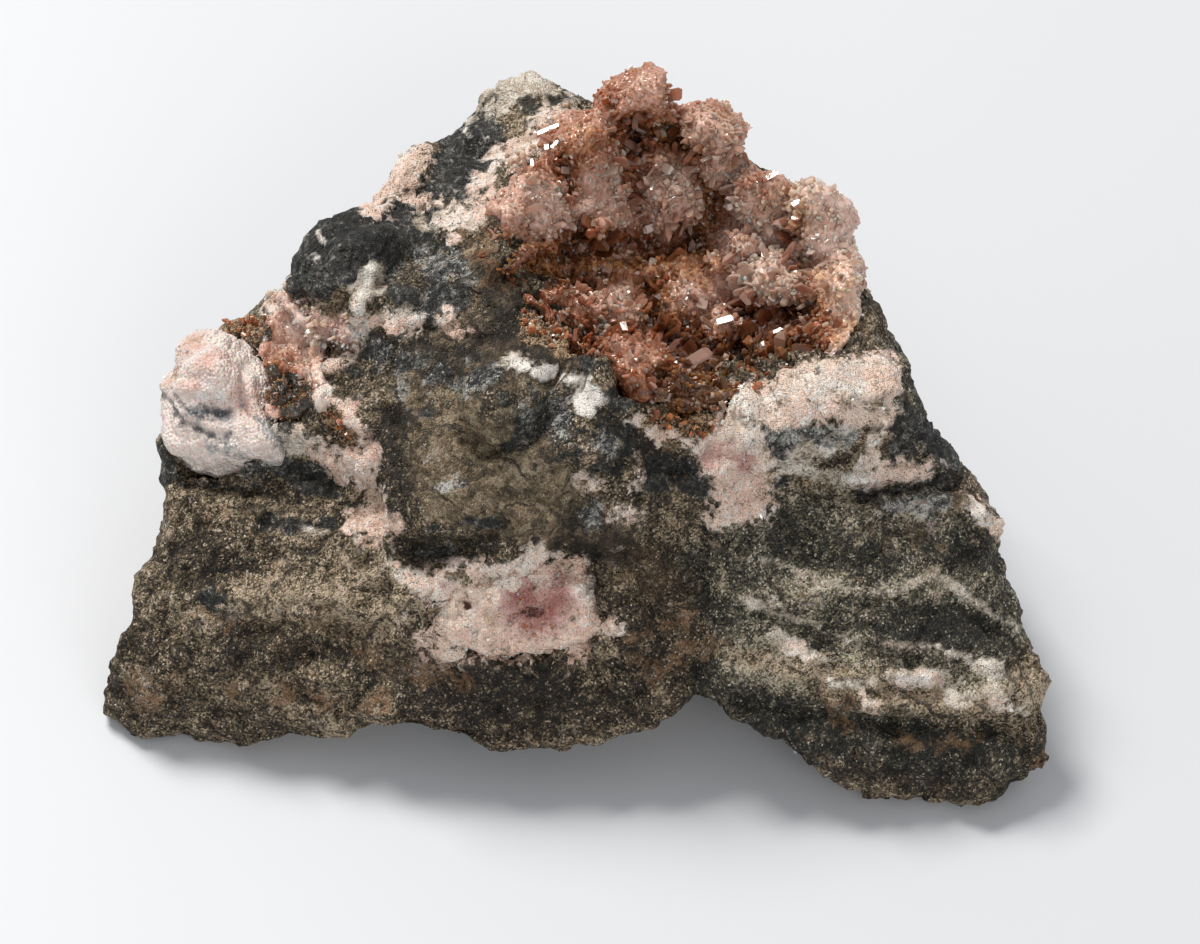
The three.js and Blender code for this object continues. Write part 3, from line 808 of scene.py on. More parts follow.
def grain_group():
    """Crystalline grains: a random tone for each, its facet's normal and its height."""
    group, given, result = new_group(
        "Mineral grains",
        [("Place", "Vector", None), ("Size", "Float", 0.3), ("Facet", "Float", 0.3)],
        [("Tone", "Float"), ("Other", "Float"), ("Normal", "Vector"), ("Height", "Float")],
    )
    scale = calc(group, "DIVIDE", 1 / MM, given["Size"])
    wobble = add(group, "ShaderNodeTexNoise", None, Vector=given["Place"], Scale=1400.0)
    offset = vector_calc(group, "SCALE", wobble.outputs["Color"], scale=0.00004)
    place = vector_calc(group, "ADD", given["Place"], offset)
    cell = add(group, "ShaderNodeTexVoronoi", None, Vector=place, Scale=scale)
    parts = add(group, "ShaderNodeSeparateColor", None, Color=cell.outputs["Color"])
    tilt = vector_calc(group, "SUBTRACT", cell.outputs["Color"], (0.5, 0.5, 0.5))
    tilt = vector_calc(group, "SCALE", tilt, scale=given["Facet"])
    surface = group.nodes.new("ShaderNodeNewGeometry").outputs["Normal"]
    facet = vector_calc(group, "NORMALIZE", vector_calc(group, "ADD", surface, tilt))
    for label, value in {
        "Tone": parts.outputs["Red"],
        "Other": parts.outputs["Green"],
        "Normal": facet,
        "Height": minus(group, 1.0, cell.outputs["Distance"]),
    }.items():
        group.links.new(value, result.inputs[label])
    return group


def zone_group():
    """A zone's mask with its edge broken up by the rock's own texture."""
    group, given, result = new_group(
        "Broken edge",
        [("Zone", "Float", 0.0), ("Break", "Float", 0.5), ("Reach", "Float", 1.6),
         ("Softness", "Float", 0.1)],
        [("Mask", "Float")],
    )
    shift = swing(group, given["Break"], given["Reach"])
    mixed = plus(group, given["Zone"], shift)
    low = minus(group, 0.5, given["Softness"])
    high = plus(group, 0.5, given["Softness"])
    group.links.new(span(group, mixed, low, high), result.inputs["Mask"])
    return group


def sugar_group():
    """Sugary rhodochrosite: pink to near white, dirty in places."""
    group, given, result = new_group(
        "Sugary pink",
        [("Place", "Vector", None), ("Speck", "Float", 0.0), ("Pink", "Color", (0.8, 0.62, 0.54, 1))],
        [("Color", "Color")],
    )
    ragged = cloud(group, given["Place"], size=1.9, detail=5.0, roughness=0.62)
    wide = cloud(group, given["Place"], size=6.0, detail=5.0, roughness=0.6)
    level = plus(group, ragged, given["Speck"])
    warm = blend(group, 0.35, given["Pink"], (0.9, 0.5, 0.38, 1))
    pink = blend(group, span(group, wide, 0.42, 0.6), given["Pink"], warm)
    share = span(group, level, 0.26, 0.38)
    colour = blend(group, share, (0.38, 0.29, 0.22, 1), pink)
    colour = blend(group, span(group, level, 0.48, 0.64), colour, (0.95, 0.86, 0.77, 1))
    group.links.new(colour, result.inputs["Color"])
    return group


def broken_mask(tree, groups, name, breaker, reach, softness):
    """A zone's mask from its attribute, with a broken edge."""
    return use_group(
        tree, groups["zone"], Zone=attribute(tree, name), Break=breaker, Reach=reach, Softness=softness
    )[0]


def new_material(name):
    material = bpy.data.materials.new(name)
    material.use_nodes = True
    tree = material.node_tree
    return material, tree, tree.nodes["Principled BSDF"]


def set_inputs(tree, shader, **inputs):
    for key, value in inputs.items():
        connect(tree, value, shader.inputs[key.replace("_", " ")])


def colour_setting(name, description, default):
    return bpy.props.FloatVectorProperty(
        name=name, description=description, subtype="COLOR", size=4, default=default
    )


# ------------------------------------------------------------------ host rock
class HostRockSettings(bpy.types.PropertyGroup):
    voxel: bpy.props.FloatProperty(
        name="Mesh step", description="Edge of the rock mesh's squares, in mm", default=0.43, min=0.3
    )
    relief: bpy.props.FloatProperty(
        name="Relief", description="Strength of the broken surface", default=1.0, min=0
    )
    pink_colour: colour_setting("Pale pink", "Colour of the massive rhodochrosite", (0.88, 0.665, 0.525, 1))


def rock_material(settings, groups):
    material, tree, shader = new_material("host rock")
    place = object_place(tree)
    grain = use_group(tree, groups["grain"], Place=place, Size=0.16, Facet=0.9)
    coarse = use_group(tree, groups["grain"], Place=place, Size=0.6, Facet=0.4)
    ragged = cloud(tree, place, size=2.6, detail=6.0, roughness=0.62)
    elsewhere = vector_calc(tree, "ADD", place, (0.3, 0.2, 0.1))
    other = cloud(tree, elsewhere, size=1.5, detail=5.0, roughness=0.66)
    fine = cloud(tree, place, size=0.4, detail=3.0, roughness=0.6)
    wide = cloud(tree, place, size=9.0, detail=5.0, roughness=0.6)

    grit = swing(tree, coarse["Other"], 0.16)
    grainy = plus(tree, ragged, grit)

    def mask(name, softness=0.1, reach=2.4, breaker=grainy):
        return broken_mask(tree, groups, name, breaker, reach, softness)

    # Salt and pepper grains: how light each spot of the broken rock is, with a painted glint on a few grains
    # that speck carries from here on.
    speck = swing(tree, grain["Tone"], 0.64)
    painted_glint = times(tree, span(tree, grain["Other"], 0.88, 0.92), 0.36)
    speck = plus(tree, speck, painted_glint)
    chunk = swing(tree, coarse["Tone"], 0.26)
    salt = plus(tree, chunk, swing(tree, fine, 0.5))
    salt = plus(tree, salt, speck)
    uneven = minus(tree, plus(tree, ragged, wide), 1.0)
    broad = swing(tree, other, 1.0)
    broad = plus(tree, broad, times(tree, uneven, 0.7))
    lightness = plus(tree, plus(tree, salt, broad), 0.38)
    # Painted shade on bevels and creases, with darker rock in places, taken off the lightness, the olive and
    # the blue-grey.
    shade = times(tree, mask("dark", 0.35), 0.24)
    lightness = minus(tree, lightness, shade)
    lifted = times(tree, mask("tan", 0.4), times(tree, ragged, 0.44))
    lightness = plus(tree, lightness, lifted)
    # Painted highlight: lighter on crests that stand above their neighbours, so the dips read darker.
    lightness = plus(tree, lightness, times(tree, attribute(tree, "crest_highlight"), 0.22))
    warm = steps(
        tree, lightness, (0.1, (0.014, 0.011, 0.008, 1)), (0.34, (0.052, 0.039, 0.025, 1)),
        (0.52, (0.134, 0.1, 0.063, 1)), (0.7, (0.28, 0.216, 0.142, 1)), (0.95, (0.57, 0.46, 0.35, 1)),
    )
    cool = steps(
        tree, lightness, (0.1, (0.012, 0.012, 0.01, 1)), (0.36, (0.042, 0.04, 0.031, 1)),
        (0.56, (0.11, 0.099, 0.071, 1)), (0.74, (0.25, 0.214, 0.153, 1)), (0.98, (0.56, 0.5, 0.4, 1)),
    )
    base = blend(tree, mask("cool", 0.3), warm, cool)
    tint = steps(
        tree, grain["Other"], (0.0, (1, 0.84, 0.68, 1)), (0.3, (0.86, 0.92, 0.74, 1)),
        (0.6, (1, 1, 1, 1)), (0.8, (1, 0.82, 0.8, 1)), (0.87, (1, 1, 1, 1)),
    )
    earthy = plus(tree, plus(tree, other, times(tree, salt, 0.24)), times(tree, uneven, 0.7))
    mottled = swing(tree, coarse["Tone"], 0.16)
    earthy = plus(tree, minus(tree, earthy, shade), plus(tree, mottled, 0.04))
    olive = steps(
        tree, earthy, (0.3, (0.024, 0.019, 0.013, 1)), (0.45, (0.088, 0.066, 0.043, 1)),
        (0.58, (0.185, 0.136, 0.085, 1)), (0.74, (0.35, 0.28, 0.2, 1)),
    )
    base = blend(tree, times(tree, mask("olive", 0.3), 0.95), base, olive)
    base = blend(tree, 0.8, base, tint, "MULTIPLY")
    rust = blend(tree, fine, (0.1, 0.045, 0.018, 1), (0.36, 0.2, 0.1, 1))
    rust_share = times(tree, mask("rust", 0.25, 3.4, other), span(tree, fine, 0.36, 0.6))
    base = blend(tree, times(tree, rust_share, 0.75), base, rust)
    stain = times(tree, span(tree, wide, 0.52, 0.66), span(tree, ragged, 0.5, 0.62))
    base = blend(tree, times(tree, stain, 0.4), base, (0.17, 0.1, 0.05, 1))
    slate = plus(tree, plus(tree, other, chunk), times(tree, speck, 0.5))
    blue = steps(
        tree, minus(tree, slate, times(tree, shade, 0.7)),
        (0.28, (0.026, 0.026, 0.025, 1)), (0.42, (0.124, 0.121, 0.111, 1)),
        (0.54, (0.272, 0.262, 0.238, 1)), (0.68, (0.52, 0.49, 0.44, 1)),
    )
    base = blend(tree, mask("blue_grey", 0.25), base, blue)
    sooty = plus(tree, fine, times(tree, speck, 0.3))
    black = steps(
        tree, plus(tree, sooty, times(tree, uneven, 0.4)),
        (0.36, (0.009, 0.009, 0.008, 1)), (0.52, (0.033, 0.032, 0.028, 1)), (0.66, (0.1, 0.095, 0.082, 1)),
        (0.78, (0.3, 0.285, 0.25, 1)),
    )
    base = blend(tree, mask("black", 0.12, 1.5), base, black)
    bent = add(tree, "ShaderNodeTexNoise", None, Vector=place, Scale=330.0)
    bent.inputs["Detail"].default_value = 4.0
    bent = vector_calc(tree, "ADD", place, vector_calc(tree, "SCALE", bent.outputs["Color"], scale=0.0035))
    bent = vector_calc(tree, "MULTIPLY", bent, (0.75, 0.75, 1.5))
    crack = add(tree, "ShaderNodeTexVoronoi", {"feature": "DISTANCE_TO_EDGE"}, Vector=bent, Scale=210.0)
    crack = span(tree, crack.outputs["Distance"], 0.05, 0.012)
    crack = times(tree, crack, span(tree, other, 0.46, 0.56))
    base = blend(tree, times(tree, crack, 0.75), base, (0.02, 0.017, 0.013, 1))
    cream = steps(
        tree, plus(tree, plus(tree, other, times(tree, speck, 0.3)), 0.07),
        (0.3, (0.2, 0.152, 0.1, 1)), (0.44, (0.42, 0.34, 0.25, 1)),
        (0.56, (0.68, 0.57, 0.45, 1)), (0.7, (0.88, 0.81, 0.71, 1)),
    )
    cream_mask = times(tree, mask("cream", 0.16, 1.7), 0.94)
    cream_mask = calc(tree, "MAXIMUM", cream_mask, times(tree, mask("vein", 0.24, 1.5), 0.85))
    base = blend(tree, cream_mask, base, cream)

    sugar = use_group(
        tree, groups["sugar"], Place=place, Speck=times(tree, speck, 0.4),
        Pink=settings.pink_colour,
    )[0]
    rosy = blend(tree, fine, (0.36, 0.11, 0.085, 1), (0.6, 0.3, 0.25, 1))
    sugar = blend(tree, times(tree, mask("rosy", 0.4), 0.75), sugar, rosy)
    pale_mask = mask("pale", 0.16, 1.9)
    thick = span(tree, attribute(tree, "pale"), 1.0, 0.6)
    pepper = times(tree, span(tree, other, 0.54, 0.6), calc(tree, "ADD", thick, 0.12, clamp=True))
    pale_mask = times(tree, pale_mask, minus(tree, 1.0, pepper))
    base = blend(tree, pale_mask, base, sugar)
    druse = steps(
        tree, plus(tree, other, speck), (0.3, (0.03, 0.02, 0.012, 1)), (0.5, (0.16, 0.09, 0.05, 1)),
        (0.66, (0.5, 0.34, 0.2, 1)),
    )
    base = blend(tree, mask("drusy", 0.15, 2.4, other), base, druse)
    chalk = steps(tree, plus(tree, other, times(tree, speck, 0.3)),
                  (0.34, (0.62, 0.52, 0.42, 1)), (0.5, (0.93, 0.87, 0.79, 1)))
    base = blend(tree, mask("white", 0.2, 0.9), base, chalk)
    base = blend(tree, mask("banding", 0.2, 2.4, other), base, (0.05, 0.043, 0.03, 1))

    glint = span(tree, grain["Other"], 0.9, 0.93)
    roughness = between(tree, glint, between(tree, fine, 0.55, 0.9), 0.16)
    height = plus(tree, times(tree, grain["Height"], 0.4), times(tree, fine, 0.8))
    height = plus(tree, height, times(tree, coarse["Height"], 0.5))
    height = plus(tree, height, times(tree, other, 1.4))
    height = minus(tree, height, times(tree, crack, 0.6))
    normal = bumped(tree, height, grain["Normal"], strength=1.0, distance=0.34)
    set_inputs(tree, shader, Base_Color=base, Roughness=roughness, Normal=normal)
    shader.inputs["Specular IOR Level"].default_value = 0.36
    return material


def paint(rock, flat):
    """Marks the mineral zones and the painted shade on the rock as it stands, and more zones where the front
    can't see.
    """
    uv, facing = rock.front_view()
    uv = wander(flat, uv)
    masks = {
        "pale": PALE_PINK, "rosy": ROSY, "black": MANGANESE_BLACK, "blue_grey": BLUE_GREY,
        "olive": OLIVE_BROWN, "rust": RUST, "tan": TAN_GRAINS, "cream": CREAM, "cool": COOL_ROCK,
        "dark": DARK_ROCK_AND_SHADE,
    }
    for name, strokes in masks.items():
        rock.masks[name] = zone(uv, facing, strokes)
    rock.masks["vein"] = soft_edged(uv, VEINS, 0.5) * smoothstep(-0.6, -0.3, facing)
    rock.masks["banding"] = np.clip(0.5 + 0.7 * inside(uv, KNOB_BANDS), 0, 1) * smoothstep(-0.2, 0.1, facing)
    rock.masks["white"] = soft_edged(uv, WHITE, 0.5) * smoothstep(0, 0.2, facing)
    hidden = 1 - smoothstep(-0.4, -0.2, facing)
    for name, low, high, size, seed in (
        ("pale", 0.4, 0.9, 9, 61), ("black", 0.2, 0.7, 8, 83), ("tan", 0, 0.8, 6, 97),
        ("cool", -0.2, 0.4, 14, 19), ("rust", 0.3, 0.9, 5, 23),
    ):
        patches = hidden * smoothstep(low, high, rough(flat, size, 3, seed))
        rock.masks[name] = np.maximum(rock.masks[name], patches)
    return uv, facing


def sculpt_rock(settings):
    """The host rock's surface, broken and folded round the hollow, with its zones on it."""
    rock = skin_of("matrix", settings.voxel)
    rock.smooth(5)
    flat = rock.points.copy()
    uv, facing = paint(rock, flat)

    # Chips and flakes of broken rock, calmer on the olive plateau and the black lumps.
    lumps_zone = smoothstep(0.5, 0.9, rock.masks["black"]) * smoothstep(14, 18, uv[:, 1])
    calm = 1 - 0.35 * lumps_zone
    plateau = rock.masks["olive"]
    bent = flat + 0.5 * np.stack([noise(flat, 1.7, seed) for seed in (7, 8, 9)], 1)
    big, big_number = cells(bent, size=4.2, seed=21, angular=True)
    small, small_number = cells(bent, size=1.7, seed=27, angular=True)
    chips = 0.5 * (2.2 - big) / 2.2 + 0.45 * (big_number - 0.5)
    flakes = 0.22 * (0.9 - small) / 0.9 + 0.18 * (small_number - 0.5)
    broken = 0.34 * rough(flat, 5.5, 2, 3) + 0.26 * rough(flat, 2.1, 4, 13, 0.6)
    height = (chips * (1 - 0.5 * plateau) + flakes + broken) * calm
    height = 1.25 * (height - height.mean()) - 0.12 + 0.3 * lumps_zone * rough(flat, 1.3, 3, 51, 0.7)
    rock.push(settings.relief * height)
    # Painted highlight for the shader: high where the surface stands above its neighbours, low in the dips.
    rock.masks["crest_highlight"] = np.clip(0.5 + 0.9 * (height - rock.average(height)) + 0.35 * height, 0, 1)
    uv, facing = rock.front_view()
    rock.points = nudged(rock.points, uv, ROCK_NUDGES)
    uv = wander(flat, uv, reach=0.35, size=1.2)
    front = smoothstep(-0.2, 0.2, facing)
    rock.push(carved(uv, RELIEF) * front)
    whole = np.maximum(rock.masks["pale"], rock.masks["cream"])
    edge = smoothstep(0.42, 0.62, whole + 0.25 * rough(flat, 1.1, 3, 71))
    pebble, _ = cells(flat, size=1.0, seed=74)
    rock.push(edge * (0.1 + 0.35 * (dome(pebble, 0.85) - 0.4) + 0.12 * rough(flat, 0.9, 2, 73)))

    # A lip round the hollow, folded in over the lining where it is crumbly or stands up.
    beyond = beyond_hollow(flat)
    lip = np.exp(-((np.maximum(beyond, 0) / 2.4) ** 2)) * smoothstep(-3, 0, beyond)
    rock.push(lip * (0.4 + 0.5 * rough(flat, 1.6, 3, 91)))
    crumbly = smoothstep(-1.4, 0.6, inside(uv, CRUMBLY_EDGE))
    rim = smoothstep(-1.6, 0.6, inside(uv, RIM_FOLD))
    to_middle = toward_hollow(flat)
    fold = lip * (0.3 + 1.7 * crumbly + 2.3 * rim) * (1 + 0.4 * rough(flat, 1.4, 3, 95))
    rock.points += to_middle * (fold * smoothstep(-0.2, 0.3, facing))[:, None]

    # The rock climbs a little round the front patch and the nodule.
    by_patch = skirt(flat, PATCH_MIDDLE, PATCH_RADII, width=0.28) * front
    by_nodule = skirt(flat, NODULE_MIDDLE, NODULE_RADII, width=0.2) * front
    rock.push(by_patch * (0.75 + 0.45 * rough(flat, 1.5, 3, 35)))
    rock.push(by_nodule * (0.5 + 0.6 * rough(flat, 1.8, 3, 39)))
    uv, facing = paint(rock, flat)
    patchy = by_patch * np.clip(0.6 + 0.45 * rough(flat, 1.5, 3, 37), 0, 1) * smoothstep(-0.2, -1.6, uv[:, 0])
    rock.masks["pale"] = np.maximum(rock.masks["pale"], patchy)

    # Crystals grow on the drusy spots, and more thinly on the pale zones.
    stained = zone(uv, facing, BROWN_DRUSE)
    drusy = np.maximum(zone(uv, facing, DRUSY_SPOTS), stained)
    rock.masks["drusy"] = stained
    rock.masks["pale"] = np.maximum(rock.masks["pale"], drusy - stained)
    rock.push(smoothstep(0.5, 0.9, drusy) * (0.5 * dome(pebble, 0.85) - 0.2))
    growth = np.maximum(0.24 * smoothstep(0.62, 0.85, rock.masks["pale"]), smoothstep(0.5, 0.7, drusy))
    rock.masks["growth"] = growth * smoothstep(1, 2, rock.points[:, 2])
    rock.masks["vigour"] = 0.7 + 0.5 * smoothstep(0.5, 0.7, drusy)
    browner = smoothstep(0.4, 0.7, stained)
    rock.masks["tone"] = 1 - 0.12 * smoothstep(0.4, 0.7, drusy) - 0.68 * browner + 0.1 * rough(flat, 2, 2, 43)
    rock.masks["amber"] = 0.12 * smoothstep(0.5, 0.8, drusy) + 0.15 * browner
    rock.points[:, 2] = np.maximum(rock.points[:, 2], 0)
    return rock


class SPECIMEN_OT_host_rock(bpy.types.Operator):
    """Builds the host rock with its mineral zones"""

    bl_idname = "specimen.host_rock"
    bl_label = "Host rock"

    def execute(self, context):
        settings = context.scene.host_rock
        piece = sculpt_rock(settings).finish("host_rock")
        piece.data.materials.append(rock_material(settings, shared_groups()))
        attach(piece, "root")
        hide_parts("matrix")
        return {"FINISHED"}


def shared_groups():
    """The node groups that several materials use, built once."""
    if "Mineral grains" not in bpy.data.node_groups:
        grain_group()
        zone_group()
        sugar_group()
    return {
        "grain": bpy.data.node_groups["Mineral grains"],
        "zone": bpy.data.node_groups["Broken edge"],
        "sugar": bpy.data.node_groups["Sugary pink"],
    }


# ------------------------------------------------------------------ crystals
FULL_TURN = 6.2832  # radians
FOOT_SHARE = 0.7  # a crystal's width at its foot, as a share of its width at the shoulder
CROWDING = 1.4  # crystals tried on each square as wide as the spacing


# Kinds of crystal: (name, width, thickness, height of the shoulder, width of the tip). The sizes are
# shares of its length. BLADES are a thin lath, a broad tabular one and a stout prism; DRUSE crowds
# together into rounded cushions; SUGAR is squat, for sugary crusts.
BLADES = [
    ("lath", 0.26, 0.08, 0.88, 0.16), ("tablet", 0.42, 0.1, 0.84, 0.3), ("prism", 0.28, 0.18, 0.8, 0.12),
]
DRUSE = [
    ("rhomb", 0.52, 0.4, 0.8, 0.3), ("wedge", 0.6, 0.24, 0.84, 0.46), ("prism", 0.4, 0.3, 0.86, 0.16),
]
SUGAR = [
    ("rhomb", 0.7, 0.5, 0.66, 0.36), ("chip", 0.62, 0.26, 0.74, 0.36), ("prism", 0.44, 0.36, 0.78, 0.2),
]


def crystal_form(name, width, thickness, shoulder, tip):
    """A blade of unit length along Z: a flat prism whose end narrows to a short chisel edge."""
    w, t, k = width / 2, thickness / 2, tip / 2
    f = w * FOOT_SHARE  # half the foot's width
    foot = [(-f, -t, 0), (f, -t, 0), (f, t, 0), (-f, t, 0)]
    neck = [(-w, -t, shoulder), (w, -t, shoulder), (w, t, shoulder), (-w, t, shoulder)]
    point = [(-k, 0, 1), (k, 0, 0.97)]
    faces = [(3, 2, 1, 0)]
    for a in range(4):
        b = (a + 1) % 4
        faces.append((a, b, b + 4, a + 4))
    faces += [(4, 5, 9, 8), (5, 6, 9), (6, 7, 8, 9), (7, 4, 8)]
    mesh = bpy.data.meshes.new(name)
    mesh.from_pydata(foot + neck + point, [], faces)
    mesh.update()
    return bpy.data.objects.new(name, mesh)


def random_number(tree, low, high, seed):
    made = tree.nodes.new("FunctionNodeRandomValue")
    connect(tree, low, made.inputs[2])
    connect(tree, high, made.inputs[3])
    connect(tree, seed, made.inputs["Seed"])
    return made.outputs[1]


def growth_tree():
    """Grows crystals of several forms on a surface, thickest where the named attribute is high."""
    tree = bpy.data.node_groups.new("Crystal growth", "GeometryNodeTree")
    sockets = [
        ("Surface", "Geometry"), ("Forms", "Collection"), ("Spacing", "Float"), ("Density", "Float"),
        ("Shortest", "Float"), ("Longest", "Float"), ("Lean", "Float"), ("Sink", "Float"), ("Seed", "Int"),
        ("Material", "Material"), ("Where", "String"),
    ]
    for label, kind in sockets:
        tree.interface.new_socket(label, in_out="INPUT", socket_type="NodeSocket" + kind)
    tree.interface.new_socket("Crystals", in_out="OUTPUT", socket_type="NodeSocketGeometry")
    given = tree.nodes.new("NodeGroupInput").outputs
    result = tree.nodes.new("NodeGroupOutput")
    seed = [plus(tree, given["Seed"], float(step)) for step in range(7)]

    growth = add(tree, "GeometryNodeInputNamedAttribute", {"data_type": "FLOAT"}, Name=given["Where"])
    spread = add(
        tree, "GeometryNodeDistributePointsOnFaces", {"distribute_method": "POISSON"},
        Mesh=given["Surface"], Distance_Min=given["Spacing"], Density_Max=given["Density"],
        Density_Factor=growth.outputs["Attribute"], Seed=seed[0],
    )
    lean = add(
        tree, "ShaderNodeCombineXYZ", None,
        X=times(tree, random_number(tree, -1.0, 1.0, seed[1]), given["Lean"]),
        Z=random_number(tree, 0.0, FULL_TURN, seed[2]),
    )
    spin = add(tree, "ShaderNodeCombineXYZ", None, Z=random_number(tree, 0.0, FULL_TURN, seed[3]))
    turned = spread.outputs["Rotation"]
    for angles in (lean, spin):
        turn = add(tree, "FunctionNodeRotateRotation", {"rotation_space": "LOCAL"}, Rotation=turned)
        as_rotation = add(tree, "FunctionNodeEulerToRotation", None, Euler=angles.outputs[0])
        tree.links.new(as_rotation.outputs[0], turn.inputs["Rotate By"])
        turned = turn.outputs[0]
    chance = calc(tree, "POWER", random_number(tree, 0.0, 1.0, seed[4]), 2.0)
    vigour = add(tree, "GeometryNodeInputNamedAttribute", {"data_type": "FLOAT"}, Name="vigour")
    length = times(
        tree, between(tree, chance, given["Shortest"], given["Longest"]),
        vigour.outputs["Attribute"],
    )
    depth = times(tree, given["Sink"], vigour.outputs["Attribute"])
    sunk = vector_calc(tree, "SCALE", spread.outputs["Normal"], scale=times(tree, depth, -1.0))
    rooted = add(tree, "GeometryNodeSetPosition", None, Geometry=spread.outputs["Points"], Offset=sunk)
    forms = add(
        tree, "GeometryNodeCollectionInfo", None, Collection=given["Forms"], Separate_Children=True,
        Reset_Children=True,
    )
    grown = add(
        tree, "GeometryNodeInstanceOnPoints", None, Points=rooted.outputs[0], Instance=forms.outputs[0],
        Pick_Instance=True, Rotation=turned,
    )
    stretch = add(
        tree, "ShaderNodeCombineXYZ", None,
        X=times(tree, length, random_number(tree, 0.7, 1.3, seed[5])), Y=length, Z=length,
    )
    tree.links.new(stretch.outputs[0], grown.inputs["Scale"])
    pick = add(
        tree, "GeometryNodeStoreNamedAttribute", {"data_type": "FLOAT", "domain": "INSTANCE"},
        Geometry=grown.outputs[0], Name="pick",
    )
    tree.links.new(random_number(tree, 0.0, 1.0, seed[6]), pick.inputs["Value"])
    real = add(tree, "GeometryNodeRealizeInstances", None, Geometry=pick.outputs[0])
    dressed = add(
        tree, "GeometryNodeSetMaterial", None, Geometry=real.outputs[0], Material=given["Material"]
    )
    tree.links.new(dressed.outputs[0], result.inputs["Crystals"])
    return tree


def grow(
    bed, name, forms, material, spacing, shortest, longest, lean, seed, sink=0.1, where="growth"
):
    """Crystals on a bed object, as a plain mesh piece. Lengths are in mm."""
    trees = bpy.data.node_groups
    tree = trees["Crystal growth"] if "Crystal growth" in trees else growth_tree()
    shelf = bpy.data.collections.new(name + " forms")
    for form in forms:
        shelf.objects.link(form)
    per_area = CROWDING / (spacing * MM) ** 2
    values = {
        "Forms": shelf, "Spacing": spacing * MM, "Density": per_area, "Shortest": shortest * MM,
        "Longest": longest * MM, "Lean": lean, "Sink": sink * MM, "Seed": seed, "Material": material,
        "Where": where,
    }
    modifier = bed.modifiers.new("growth", "NODES")
    modifier.node_group = tree
    for item in tree.interface.items_tree:
        if item.in_out == "INPUT" and item.name in values:
            modifier[item.identifier] = values[item.name]
    mesh = evaluated_mesh(bed)
    bed.modifiers.remove(modifier)
    mesh.name = name
    for form in forms:
        bpy.data.meshes.remove(form.data)
    bpy.data.collections.remove(shelf)
    return placed(name, mesh)


def crystal_forms(tag, kinds):
    return [crystal_form(f"{tag} {kind}", *sizes) for kind, *sizes in kinds]


def sugar_on(bed, name, tag, **sizes):
    """Squat crystals over a bed, in the same material as the hollow's small ones."""
    return grow(bed, name, crystal_forms(tag, SUGAR), bpy.data.materials["crystal blades"], **sizes)


def put(piece, slot, *replaced):
    """Parents a finished piece to the root body, and hides the CAD parts that it replaces."""
    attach(piece, "root")
    if replaced:
        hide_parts(*replaced)


# ------------------------------------------------------------------ crystal hollow
class CrystalHollowSettings(bpy.types.PropertyGroup):
    pale_colour: colour_setting("Pale pink", "Colour of the crystals on the cushions", (0.68, 0.42, 0.322, 1))
    deep_colour: colour_setting("Deep red", "Colour of the crystals in the gaps", (0.35, 0.112, 0.044, 1))
    amber_colour: colour_setting("Amber", "Colour of the iron-stained crystals", (0.84, 0.42, 0.13, 1))
    large: bpy.props.FloatProperty(
        name="Longest blade", description="Length of the longest crystals, in mm", default=3.0, min=0.5
    )
    small: bpy.props.FloatProperty(
        name="Longest small crystal", description="Length of the small crystals, in mm", default=1.4,
        min=0.2,
    )


def hollow_colour(tree, settings, tone, amber, vary):
    """The colour of the lining or its crystals: red-brown in the gaps, pale pink on the cushions."""
    mixed = plus(tree, tone, swing(tree, vary, 0.36))
    dark = tuple(0.22 * channel for channel in settings.deep_colour[:3]) + (1,)
    middle = tuple((a + b) / 2 for a, b in zip(settings.deep_colour, settings.pale_colour))
    colour = steps(
        tree, mixed, (0.0, dark), (0.3, settings.deep_colour), (0.55, middle),
        (0.78, settings.pale_colour), (1.0, (0.905, 0.665, 0.555, 1)),
    )
    golden = blend(tree, vary, (0.44, 0.16, 0.035, 1), settings.amber_colour)
    streaks = between(tree, span(tree, vary, 0.4, 0.7), 0.15, 0.85)
    return blend(tree, times(tree, amber, streaks), colour, golden)


def lining_material(settings, groups):
    material, tree, shader = new_material("crystal lining")
    place = object_place(tree)
    grain = use_group(tree, groups["grain"], Place=place, Size=0.4, Facet=0.7)
    fine = cloud(tree, place, size=0.8, detail=4.0, roughness=0.6)
    vary = plus(tree, times(tree, grain["Tone"], 0.6), times(tree, fine, 0.4))
    colour = hollow_colour(tree, settings, attribute(tree, "tone"), attribute(tree, "amber"), vary)
    crumbs = steps(
        tree, fine, (0.36, (0.012, 0.011, 0.009, 1)), (0.5, (0.06, 0.047, 0.032, 1)),
        (0.66, (0.2, 0.15, 0.1, 1)),
    )
    crumbly = broken_mask(tree, groups, "crumbly", fine, reach=1.8, softness=0.12)
    colour = blend(tree, crumbly, colour, crumbs)
    normal = bumped(tree, grain["Height"], grain["Normal"], strength=0.6, distance=0.25)
    set_inputs(
        tree, shader, Base_Color=colour, Roughness=between(tree, grain["Other"], 0.18, 0.5),
        Normal=normal,
    )
    scatter_inside(shader, ior=1.65, weight=0.3, radius=(1, 0.45, 0.3), scale=1.2)
    return material


